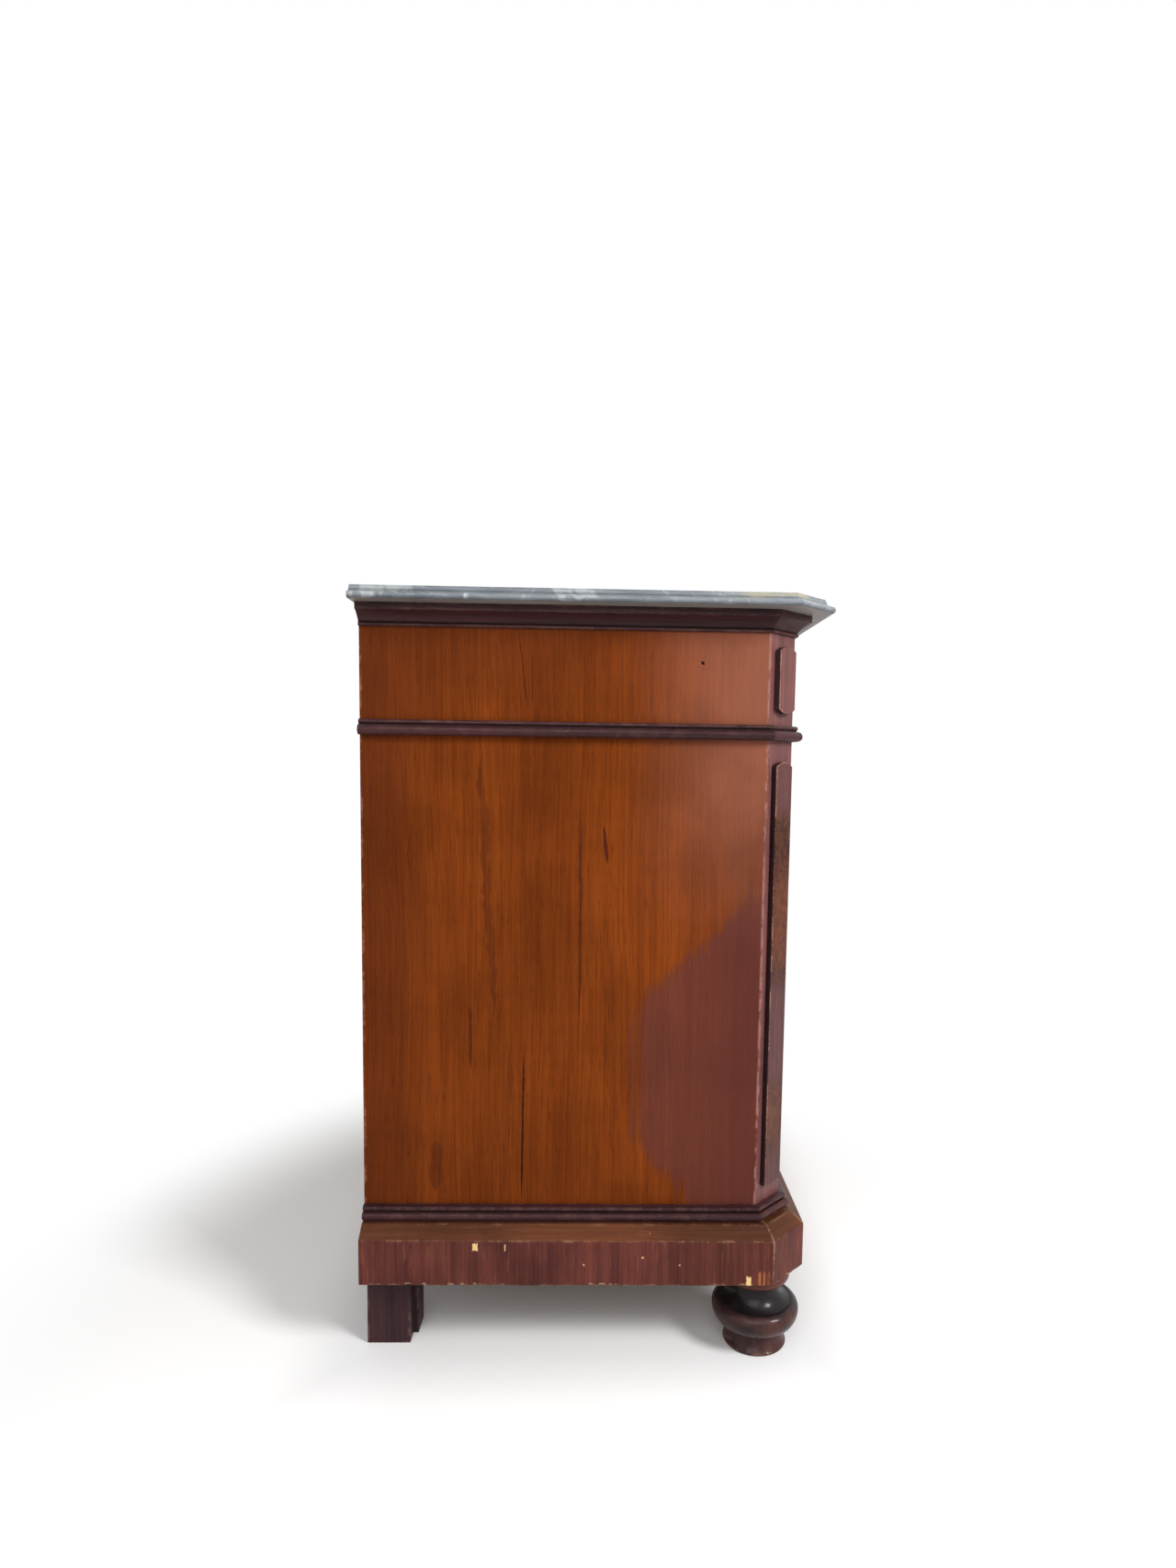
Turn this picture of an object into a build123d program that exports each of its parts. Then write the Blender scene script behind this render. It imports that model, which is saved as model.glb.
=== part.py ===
from build123d import *
from math import sqrt
import os

os.makedirs("parts", exist_ok=True)

# Chest of four drawers with a marble top, canted front corners and turned front feet.
# The front faces -Y, +X is to the right seen from the front and +Z is up.
# The origin is on the floor, under the middle of the marble. All sizes are in millimetres.

cutting_margin = 1               # how far a cut runs past the piece it is made in

# Carcass plan
body_width = 1180
body_depth = 560
corner_cut = 38                  # leg of the 45 degree cut at each front corner
board_thickness = 22             # side boards
post_width = 50                  # corner posts, along the front
post_depth = 60                  # corner posts, along the side
rail_depth = 60

# Heights, from the floor up
foot_height = 106
plinth_face_height = 62
plinth_bevel_height = 14
bottom_rail_height = 21
rail_height = 20
long_drawer_opening = 193
long_drawer_count = 3
frieze_opening = 116
top_rail_height = 27
marble_thickness = 18

# Marble top
marble_overhang = 45             # past the body, at the front and the sides
marble_back_overhang = 3
marble_corner_cut = 53
marble_nosing = 4.5              # radius of the rounded lower edge
marble_cove = 7                  # radius of the hollow above it
marble_step = 1.6                # small upright step under the top edge
marble_quirk = 0.4               # between the hollow and that step

# Mouldings, by how far they stand out from the body
cornice_projection = 20
cornice_fillet = 9
cornice_step = 2
cornice_bead = 2.2
cornice_hollow = 1               # how deep the splay is hollowed
waist_projection = 13
waist_torus = 6.5
waist_groove = 1.2
waist_fillet_projection = 7
base_projection = 14
base_torus = 5
base_step = 3
base_groove = 2.5
base_fillet_height = 4
base_top_reach = 3               # what is left of the moulding at its top edge
plinth_projection = 32
plinth_corner_cut = 31           # the plinth's corners are cut less than the body's
plinth_lower_round = 3.5
plinth_arris_round = 1.5

# Tablets and pilasters on the canted corners
pilaster_width = 36
pilaster_thickness = 8
pilaster_rise = 6                # height of the arch over its springing
pilaster_top_margin = 27
pilaster_bottom_margin = 24
tablet_thickness = 9
tablet_margin = 15
panel_chamfer = 0.8

# Turned front feet
foot_side_inset = 23             # axis, in from the side of the body
foot_front_inset = 31            # axis, in from the front of the body
foot_torus_radius = 59
foot_torus_middle = 49
foot_rim_radius = 50             # where the torus ends in a small step
foot_rim_height = 61.5
foot_rim_step = 3
foot_waist_radius = 34
foot_waist_height = 25
foot_flare_radius = 36.6         # the hollow flare between waist and base, halfway up
foot_flare_height = 13
foot_base_radius = 43
foot_base_round = 2.5
foot_neck_radius = 31
foot_neck_height = 84
foot_collar_radius = 46
foot_collar_height = 13
foot_collar_round = 3
foot_tenon_radius = 8
foot_tenon_length = 40
foot_socket_clearance = 1        # free space over the end of the tenon

# Rear feet
rear_foot_width = 58
rear_foot_thickness = 22
rear_foot_inset = 10
rear_block_width = 36
rear_block_reach = 7             # how far the block stands forward of the foot's board
rear_block_height = 50           # its part inside the plinth

# Back and bottom
back_thickness = 12
back_rebate = 12
back_board_count = 4
bottom_thickness = 12
bottom_board_count = 6
bottom_setback = 15              # behind the front of the body
board_gap = 1
plinth_back_thickness = 22

# Rail joints and runners
tenon_length = 14
tenon_depth = 30
tenon_height = 10
tenon_fit = 0.1
runner_bearing = 25              # how far the runner reaches under the drawer side
runner_guide_height = 24
guide_clearance = 1
stop_length = 40
stop_depth = 12
stop_height = 6
stop_spacing = 600

# Drawers
drawer_side_clearance = 1.5
drawer_top_clearance = 2
drawer_bottom_clearance = 1
running_clearance = 0.3
front_thickness = 22
front_lap = 6                    # wood left over the dovetails at the face
front_chamfer = 0.6
side_thickness = 13
side_top_drop = 3
drawer_back_thickness = 12
drawer_back_drop = 4
panel_thickness = 8
panel_lift = 9                   # underside of the bottom panel over the opening's floor
groove_depth = 6
groove_clearance = 0.2
drawer_rear_clearance = 12
tail_slope = 3                   # how much wider a dovetail is at its tip, on each side
tail_pitch = 38                  # about one tail for this much height
tail_share = 0.3                 # half of a tail's root, as a share of its pitch
fewest_tails = 2

# Locks and keys
lock_width = 46
lock_height = 38
lock_case_depth = 10
lock_wall = 1.5
lock_flange = 12                 # how far plate and selvedge reach past the case, each side
selvedge_thickness = 2
bolt_width = 22
bolt_thickness = 4
bolt_length = 15
bolt_throw = 8
bolt_clearance = 0.4
mortise_clearance = 0.8          # round the bolt, in the rail above
mortise_extra_depth = 1
key_depth = 25                   # key axis under the top edge of the drawer front
key_radius = 2.6
key_bore = 1.5
key_end_clearance = 1            # between the key's tip and the lock's back plate
pin_radius = 1.2
bit_radius = 7.4
bit_thickness = 1.8
bit_length = 5
keyhole_clearance = 0.5
key_reach = 20                   # middle of the bow in front of the drawer
bow_height = 24
bow_width = 19
bow_section = 1.9
key_collar_radius = 4
key_collar_length = 3
escutcheon_width = 24
escutcheon_height = 46
escutcheon_thickness = 1.5

# Levels and planes that follow from the sizes above
plinth_arris = foot_height + plinth_face_height
carcass_floor = plinth_arris + plinth_bevel_height
first_opening = carcass_floor + bottom_rail_height
drawer_levels = []               # floor and height of each opening, from the lowest drawer up
level = first_opening
for _ in range(long_drawer_count):
    drawer_levels.append((level, long_drawer_opening))
    level += long_drawer_opening + rail_height
waist_level = level - rail_height
drawer_levels.append((level, frieze_opening))
top_rail_level = level + frieze_opening
body_top = top_rail_level + top_rail_height
drawer_levels.reverse()          # drawer 1 is the frieze drawer

total_depth = marble_overhang + body_depth + marble_back_overhang
back_y = total_depth / 2 - marble_back_overhang
front_y = back_y - body_depth
inner_back_y = back_y - back_thickness
half_body = body_width / 2
half_opening = half_body - post_width
half_inside = half_body - board_thickness


def plan_corners(projection, back, cut):
    """Plan of the body with its two cut front corners, from the right back round to the left back."""
    side = half_body + projection
    front = front_y - projection
    return [
        Vector(side, back, 0),
        Vector(side, front + cut, 0),
        Vector(side - cut, front, 0),
        Vector(-side + cut, front, 0),
        Vector(-side, front + cut, 0),
        Vector(-side, back, 0),
    ]


body_plan = plan_corners(0, back_y, corner_cut)
RIGHT_SIDE, RIGHT_CORNER, FRONT, LEFT_CORNER, LEFT_SIDE = range(5)


def mitred_run(plan, index, height, outline, margin):
    """One straight run of a profile round the plan, cut at each end to the mitre of that corner."""
    runs = [(plan[i + 1] - plan[i]).normalized() for i in range(len(plan) - 1)]
    along = runs[index]
    before = runs[max(index - 1, 0)]
    after = runs[min(index + 1, len(runs) - 1)]
    start = plan[index] + Vector(0, 0, height)
    end = plan[index + 1] + Vector(0, 0, height)
    outward = Vector(0, 0, 1).cross(along)
    with BuildPart() as run:
        with BuildSketch(Plane(origin=start - along * margin, x_dir=outward, z_dir=along)):
            with BuildLine():
                outline()
            make_face()
        extrude(amount=(end - start).length + 2 * margin)
        split(bisect_by=Plane(origin=start, z_dir=before + along), keep=Keep.TOP)
        split(bisect_by=Plane(origin=end, z_dir=along + after), keep=Keep.BOTTOM)
    return run.part


def cornice_outline():
    """A small bead, a hollow splay, and a fillet under the marble."""
    shoulder = top_rail_height - cornice_fillet
    inner = cornice_projection - cornice_step
    Line((0, 0), (cornice_bead, 0))
    ThreePointArc((cornice_bead, 0), (2 * cornice_bead, cornice_bead), (cornice_bead, 2 * cornice_bead))
    ThreePointArc(
        (cornice_bead, 2 * cornice_bead),
        ((cornice_bead + inner) / 2 - cornice_hollow, (2 * cornice_bead + shoulder) / 2 + cornice_hollow),
        (inner, shoulder),
    )
    Polyline((inner, shoulder), (cornice_projection, shoulder), (cornice_projection, top_rail_height),
             (0, top_rail_height), (0, 0))


def waist_outline():
    """A torus, a groove and a small bead above it."""
    inner = waist_projection - waist_torus
    torus_top = 2 * waist_torus
    bead_foot = torus_top + waist_groove
    Line((0, 0), (inner, 0))
    ThreePointArc((inner, 0), (waist_projection, waist_torus), (inner, torus_top))
    Polyline((inner, torus_top), (inner - waist_groove, torus_top), (inner - waist_groove, bead_foot))
    ThreePointArc(
        (inner - waist_groove, bead_foot),
        (waist_fillet_projection, (bead_foot + rail_height) / 2),
        (inner - 2 * waist_groove, rail_height),
    )
    Polyline((inner - 2 * waist_groove, rail_height), (0, rail_height), (0, 0))


def base_outline():
    """A recess over the plinth, a torus, a groove, and a fillet that runs back to the body."""
    inner = base_projection - base_torus
    torus_top = base_step + 2 * base_torus
    fillet_foot = torus_top + base_groove
    fillet_head = fillet_foot + base_fillet_height
    Polyline((0, 0), (inner, 0), (inner, base_step))
    ThreePointArc((inner, base_step), (base_projection, base_step + base_torus), (inner, torus_top))
    Polyline(
        (inner, torus_top),
        (inner - base_groove, torus_top),
        (inner - base_groove, fillet_foot),
        (inner, fillet_foot),
        (inner, fillet_head),
    )
    Polyline((inner, fillet_head), (base_top_reach, bottom_rail_height), (0, bottom_rail_height), (0, 0))


def plinth_outline():
    """An upright face with a rounded lower edge and a bevelled top."""
    round_inner = plinth_projection - plinth_lower_round
    Line((0, 0), (round_inner, 0))
    RadiusArc((round_inner, 0), (plinth_projection, plinth_lower_round), -plinth_lower_round)
    bevel_run = plinth_projection - base_projection
    bevel_length = sqrt(bevel_run**2 + plinth_bevel_height**2)
    over_arris = (
        plinth_projection - plinth_arris_round * bevel_run / bevel_length,
        plinth_face_height + plinth_arris_round * plinth_bevel_height / bevel_length,
    )
    under_arris = (plinth_projection, plinth_face_height - plinth_arris_round)
    Line((plinth_projection, plinth_lower_round), under_arris)
    TangentArc(under_arris, over_arris, tangent=(0, 1))
    Polyline(
        over_arris,
        (base_projection, plinth_face_height + plinth_bevel_height),
        (0, plinth_face_height + plinth_bevel_height),
        (0, 0),
    )


def marble_waste_outline():
    """What is cut away outside the marble's edge: nosing, hollow and step, from the bottom up."""
    nosing_top = 2 * marble_nosing
    step_foot = marble_thickness - marble_step
    cove_head = step_foot - marble_quirk
    cove_inner = -marble_nosing - marble_cove
    step_inner = cove_inner - 2 * marble_quirk
    waste_low = -cutting_margin
    waste_high = marble_thickness + cutting_margin
    Polyline((marble_nosing, waste_low), (-marble_nosing, waste_low), (-marble_nosing, 0))
    ThreePointArc((-marble_nosing, 0), (0, marble_nosing), (-marble_nosing, nosing_top))
    cove_height = cove_head - nosing_top
    ThreePointArc(
        (-marble_nosing, nosing_top),
        (-marble_nosing - marble_cove * sqrt(0.5), cove_head - cove_height * sqrt(0.5)),
        (cove_inner, cove_head),
    )
    Polyline(
        (cove_inner, cove_head),
        (step_inner, step_foot),
        (step_inner, waste_high),
        (marble_nosing, waste_high),
        (marble_nosing, waste_low),
    )


def save(piece, label):
    """Name a finished piece and write it."""
    piece.label = label
    export_step(piece, f"parts/{label}.step")


# Marble top
marble_plan = plan_corners(marble_overhang, total_depth / 2, marble_corner_cut)
with BuildPart() as marble_top:
    with BuildSketch(Plane.XY.offset(body_top)):
        with BuildLine():
            Polyline(*[(p.X, p.Y) for p in marble_plan], close=True)
        make_face()
    extrude(amount=marble_thickness)
    for index in (RIGHT_SIDE, RIGHT_CORNER, FRONT, LEFT_CORNER, LEFT_SIDE):
        waste = mitred_run(marble_plan, index, body_top, marble_waste_outline, marble_nosing + cutting_margin)
        add(waste, mode=Mode.SUBTRACT)
save(marble_top.part, "marble_top")

# Cornice, waist moulding and base moulding: a front run, and the returns round corners and sides
for name, height, outline, reach in (
    ("cornice", top_rail_level, cornice_outline, cornice_projection),
    ("waist_moulding", waist_level, waist_outline, waist_projection),
    ("base_moulding", carcass_floor, base_outline, base_projection),
):
    with BuildPart() as front_run:
        add(mitred_run(body_plan, FRONT, height, outline, reach))
    save(front_run.part, f"{name}_front")
    returns = [
        mitred_run(body_plan, index, height, outline, reach)
        for index in (RIGHT_SIDE, RIGHT_CORNER, LEFT_CORNER, LEFT_SIDE)
    ]
    save(Compound(children=returns), f"{name}_returns")

# Plinth
plinth_plan = plan_corners(0, back_y, plinth_corner_cut)
with BuildPart() as plinth_front:
    add(mitred_run(plinth_plan, FRONT, foot_height, plinth_outline, plinth_projection))
save(plinth_front.part, "plinth_front")
for name, indexes in (
    ("plinth_left", (LEFT_CORNER, LEFT_SIDE)),
    ("plinth_right", (RIGHT_SIDE, RIGHT_CORNER)),
):
    boards = [
        mitred_run(plinth_plan, index, foot_height, plinth_outline, plinth_projection)
        for index in indexes
    ]
    save(Compound(children=boards), name)

plinth_back_height = carcass_floor - bottom_thickness - foot_height
with BuildPart() as plinth_back:
    with BuildSketch(Plane.XY.offset(foot_height)):
        with Locations((0, back_y - plinth_back_thickness / 2)):
            Rectangle(2 * half_inside, plinth_back_thickness)
    extrude(amount=plinth_back_height)
save(plinth_back.part, "plinth_back")

# Rails across the front, with stub tenons into the corner posts
rail_levels = [(floor - rail_height, rail_height) for floor, _ in drawer_levels[:long_drawer_count]]
rail_levels.append((carcass_floor, bottom_rail_height))


def front_rail(floor, height):
    """A rail between the posts, flush with the front, with a tenon at each end."""
    with BuildPart() as rail:
        with BuildSketch(Plane.XY.offset(floor)):
            with Locations((0, front_y + rail_depth / 2)):
                Rectangle(2 * half_opening, rail_depth)
        extrude(amount=height)
        with BuildSketch(Plane.XY.offset(floor + (height - tenon_height) / 2)):
            with Locations((0, front_y + rail_depth / 2)):
                Rectangle(2 * (half_opening + tenon_length), tenon_depth)
        extrude(amount=tenon_height)
    return rail.part


def bolt_mortise(floor):
    """The slot for a lock's bolt in the underside of a rail."""
    with BuildPart() as mortise:
        with BuildSketch(Plane.XY.offset(floor)):
            with Locations((0, bolt_y)):
                Rectangle(bolt_width + 2 * mortise_clearance, bolt_thickness + 2 * mortise_clearance)
        extrude(amount=bolt_throw + mortise_extra_depth)
    return mortise.part


lock_inner_y = front_y + front_thickness
bolt_y = lock_inner_y - lock_wall - lock_case_depth / 2
drawer_rails = []
for number, (floor, height) in enumerate(rail_levels):
    with BuildPart() as drawer_rail:
        add(front_rail(floor, height))
        if number < long_drawer_count:
            add(bolt_mortise(floor), mode=Mode.SUBTRACT)
    drawer_rails.append(drawer_rail.part)
save(Compound(children=drawer_rails), "drawer_rails")

with BuildPart() as top_rail_front:
    add(front_rail(top_rail_level, top_rail_height))
    add(bolt_mortise(top_rail_level), mode=Mode.SUBTRACT)
with BuildPart() as top_rail_back:
    with BuildSketch(Plane.XY.offset(top_rail_level)):
        with Locations((0, inner_back_y - rail_depth / 2)):
            Rectangle(2 * half_inside, rail_depth)
    extrude(amount=top_rail_height)
save(Compound(children=[top_rail_front.part, top_rail_back.part]), "top_rails")

# Side boards, with a rebate for the back boards
for side, name in ((-1, "side_left"), (1, "side_right")):
    with BuildPart() as side_board:
        with BuildSketch(Plane.XY.offset(foot_height)):
            with Locations((side * (half_body - board_thickness / 2), (front_y + post_depth + back_y) / 2)):
                Rectangle(board_thickness, body_depth - post_depth)
            with Locations((side * (half_inside + back_rebate / 2), back_y - back_thickness / 2)):
                Rectangle(back_rebate, back_thickness, mode=Mode.SUBTRACT)
        extrude(amount=body_top - foot_height)
    save(side_board.part, name)

# Corner posts, with mortises for the rails and a socket for the foot
foot_x = half_body - foot_side_inset
foot_y = front_y + foot_front_inset
for side, name in ((-1, "corner_post_left"), (1, "corner_post_right")):
    with BuildPart() as post:
        with BuildSketch(Plane.XY.offset(foot_height)):
            with BuildLine():
                Polyline(
                    (side * half_body, front_y + corner_cut),
                    (side * (half_body - corner_cut), front_y),
                    (side * half_opening, front_y),
                    (side * half_opening, front_y + post_depth),
                    (side * half_body, front_y + post_depth),
                    close=True,
                )
            make_face()
        extrude(amount=body_top - foot_height)
        for floor, height in rail_levels + [(top_rail_level, top_rail_height)]:
            middle = floor + (height - tenon_height) / 2 - tenon_fit
            with BuildSketch(Plane.XY.offset(middle)):
                with Locations((side * half_opening, front_y + rail_depth / 2)):
                    Rectangle(2 * (tenon_length + tenon_fit), tenon_depth + 2 * tenon_fit)
            extrude(amount=tenon_height + 2 * tenon_fit, mode=Mode.SUBTRACT)
        with BuildSketch(Plane.XY.offset(foot_height)):
            with Locations((side * foot_x, foot_y)):
                Circle(foot_tenon_radius + tenon_fit)
        extrude(amount=foot_tenon_length + foot_socket_clearance, mode=Mode.SUBTRACT)
    save(post.part, name)


def corner_face(side, height):
    """Plane on a canted corner: its origin is the middle of the face, y runs up and z outwards."""
    middle = Vector(side * (half_body - corner_cut / 2), front_y + corner_cut / 2, height)
    return Plane(origin=middle, x_dir=(1, side, 0), z_dir=(side, -1, 0))


def arched_panel(side, low, high, thickness, arch_below):
    """An upright panel on a corner with a segmental arch on top, and below where asked."""
    half = pilaster_width / 2
    top = high - low
    foot = pilaster_rise if arch_below else 0
    with BuildPart() as panel:
        with BuildSketch(corner_face(side, low)):
            with BuildLine():
                Line((half, foot), (half, top - pilaster_rise))
                ThreePointArc((half, top - pilaster_rise), (0, top), (-half, top - pilaster_rise))
                Line((-half, top - pilaster_rise), (-half, foot))
                if arch_below:
                    ThreePointArc((-half, foot), (0, 0), (half, foot))
                else:
                    Line((-half, foot), (half, foot))
            make_face()
        extrude(amount=thickness)
        chamfer(outer_edges(panel, side), panel_chamfer)
    return panel.part


def outer_edges(panel, side):
    """The edges round the outer face of a panel on a canted corner."""
    outward = Axis((0, 0, 0), (side, -1, 0))
    return panel.faces().sort_by(outward)[-1].edges()


tablet_low = waist_level + rail_height + tablet_margin
tablet_high = top_rail_level - tablet_margin
tablets = [arched_panel(side, tablet_low, tablet_high, tablet_thickness, True) for side in (-1, 1)]
save(Compound(children=tablets), "corner_tablets")
pilaster_low = first_opening + pilaster_bottom_margin
pilaster_high = waist_level - pilaster_top_margin
pilasters = [arched_panel(side, pilaster_low, pilaster_high, pilaster_thickness, False) for side in (-1, 1)]
save(Compound(children=pilasters), "corner_pilasters")


def foot_outline():
    """Half profile of a turned foot: base, flare, waist, torus, hollow, neck, collar and tenon."""
    half = sqrt(0.5)
    base_edge = (foot_base_radius, foot_base_round)
    waist = (foot_waist_radius, foot_waist_height)
    widest = (foot_torus_radius, foot_torus_middle)
    rim = (foot_rim_radius, foot_rim_height)
    collar_foot = foot_height - foot_collar_height
    collar_edge = foot_collar_radius - foot_collar_round
    Line((0, 0), (foot_base_radius - foot_base_round, 0))
    ThreePointArc(
        (foot_base_radius - foot_base_round, 0),
        (foot_base_radius - (1 - half) * foot_base_round, (1 - half) * foot_base_round),
        base_edge,
    )
    ThreePointArc(base_edge, (foot_flare_radius, foot_flare_height), waist)
    ThreePointArc(
        waist,
        (waist[0] + half * (widest[0] - waist[0]), widest[1] - half * (widest[1] - waist[1])),
        widest,
    )
    ThreePointArc(
        widest,
        (rim[0] + half * (widest[0] - rim[0]), widest[1] + half * (rim[1] - widest[1])),
        rim,
    )
    Line(rim, (foot_rim_radius - foot_rim_step, foot_rim_height))
    ThreePointArc(
        (foot_rim_radius - foot_rim_step, foot_rim_height),
        (foot_neck_radius + foot_rim_step, (foot_rim_height + foot_neck_height) / 2),
        (foot_neck_radius, foot_neck_height),
    )
    Polyline(
        (foot_neck_radius, foot_neck_height),
        (foot_neck_radius, collar_foot),
        (collar_edge, collar_foot),
    )
    ThreePointArc(
        (collar_edge, collar_foot),
        (foot_collar_radius, collar_foot + foot_collar_height / 2),
        (collar_edge, foot_height),
    )
    Polyline(
        (collar_edge, foot_height),
        (foot_tenon_radius, foot_height),
        (foot_tenon_radius, foot_height + foot_tenon_length),
        (0, foot_height + foot_tenon_length),
        (0, 0),
    )


# Turned front feet, with a tenon into the corner post
for side, name in ((-1, "front_foot_left"), (1, "front_foot_right")):
    with BuildPart() as foot:
        with BuildSketch(Plane(origin=(side * foot_x, foot_y, 0), x_dir=(1, 0, 0), z_dir=(0, -1, 0))):
            with BuildLine():
                foot_outline()
            make_face()
        revolve(axis=Axis((side * foot_x, foot_y, 0), (0, 0, 1)))
    save(foot.part, name)

# Rear feet: a board under each side, and a block behind it that runs up inside the plinth
foot_outer_x = half_body - rear_foot_inset
foot_front_y = back_y - rear_foot_width
block_front_y = foot_front_y - rear_block_reach
block_back_y = back_y - plinth_back_thickness
block_x = foot_outer_x - rear_foot_thickness - rear_block_width / 2
rear_blocks = []
for side, name in ((-1, "rear_foot_left"), (1, "rear_foot_right")):
    with BuildPart() as rear_foot:
        with BuildSketch(Plane.XY):
            with Locations((side * (foot_outer_x - rear_foot_thickness / 2), (foot_front_y + back_y) / 2)):
                Rectangle(rear_foot_thickness, rear_foot_width)
        extrude(amount=foot_height)
    save(rear_foot.part, name)

    with BuildPart() as rear_block:
        with BuildSketch(Plane.XY):
            with Locations((side * block_x, (block_front_y + back_y) / 2)):
                Rectangle(rear_block_width, back_y - block_front_y)
        extrude(amount=foot_height)
        with BuildSketch(Plane.XY.offset(foot_height)):
            with Locations((side * block_x, (block_front_y + block_back_y) / 2)):
                Rectangle(rear_block_width, block_back_y - block_front_y)
        extrude(amount=rear_block_height)
    rear_blocks.append(rear_block.part)
save(Compound(children=rear_blocks), "rear_foot_blocks")

# Back boards in the rebate, and bottom boards over the plinth's back rail
back_foot = foot_height + plinth_back_height
back_board_height = (body_top - back_foot) / back_board_count
back_boards = []
for number in range(back_board_count):
    with BuildPart() as back_board:
        with BuildSketch(Plane.XY.offset(back_foot + number * back_board_height)):
            with Locations((0, back_y - back_thickness / 2)):
                Rectangle(2 * (half_inside + back_rebate) - board_gap, back_thickness)
        extrude(amount=back_board_height - board_gap)
    back_boards.append(back_board.part)
save(Compound(children=back_boards), "back_boards")

bottom_board_width = 2 * half_opening / bottom_board_count
bottom_front_y = front_y + bottom_setback
bottom_middle_y = (bottom_front_y + inner_back_y) / 2
bottom_boards = []
for number in range(bottom_board_count):
    with BuildPart() as bottom_board:
        with BuildSketch(Plane.XY.offset(carcass_floor - bottom_thickness)):
            with Locations(((number + 0.5) * bottom_board_width - half_opening, bottom_middle_y)):
                Rectangle(bottom_board_width - board_gap, inner_back_y - bottom_front_y)
        extrude(amount=bottom_thickness)
    bottom_boards.append(bottom_board.part)
save(Compound(children=bottom_boards), "bottom_boards")

# Rebated runners: they carry and guide each drawer, from the posts to the back
runner_length = inner_back_y - front_y - post_depth
runners = []
stops = []
for floor, _ in drawer_levels:
    height = bottom_rail_height if floor == first_opening else rail_height
    for side in (-1, 1):
        bearing = half_inside - half_opening + runner_bearing
        guide = half_inside - half_opening - guide_clearance
        with BuildPart() as runner:
            with BuildSketch(Plane(origin=(0, front_y + post_depth, 0), x_dir=(1, 0, 0), z_dir=(0, 1, 0))):
                with Locations((side * (half_inside - bearing / 2), -(floor - height / 2))):
                    Rectangle(bearing, height)
                with Locations((side * (half_inside - guide / 2), -(floor + runner_guide_height / 2))):
                    Rectangle(guide, runner_guide_height)
            extrude(amount=runner_length)
        runners.append(runner.part)
        with BuildPart() as stop:
            with BuildSketch(Plane.XY.offset(floor)):
                stop_y = front_y + front_thickness + running_clearance + stop_depth / 2
                with Locations((side * stop_spacing / 2, stop_y)):
                    Rectangle(stop_length, stop_depth)
            extrude(amount=stop_height)
        stops.append(stop.part)
save(Compound(children=runners), "drawer_runners")
save(Compound(children=stops), "drawer_stops")

# Drawers, each with its lock. Drawer 1 is the frieze drawer and drawer 4 the lowest.
half_drawer = half_opening - drawer_side_clearance
side_front_y = front_y + front_thickness
drawer_rear_y = inner_back_y - drawer_rear_clearance
side_rear_y = drawer_rear_y - drawer_back_thickness
front_tail = front_thickness - front_lap


def tail_outlines(root_y, tip_y, low, high):
    """Dovetails on a side board, seen from the side: each is wider at its tip than at its root."""
    count = max(fewest_tails, round((high - low) / tail_pitch))
    pitch = (high - low) / count
    for number in range(count):
        middle = low + (number + 0.5) * pitch
        root = pitch * tail_share
        tip = root + tail_slope
        Polygon(
            (root_y, middle - root),
            (tip_y, middle - tip),
            (tip_y, middle + tip),
            (root_y, middle + root),
            align=None,
        )


def keyhole(middle, clearance):
    """A keyhole: a round for the shank over a slot for the bit."""
    with Locations(middle):
        Circle(key_radius + clearance)
    with Locations((middle[0], middle[1] - bit_radius / 2)):
        Rectangle(bit_thickness + 2 * clearance, bit_radius + 2 * clearance)


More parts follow.
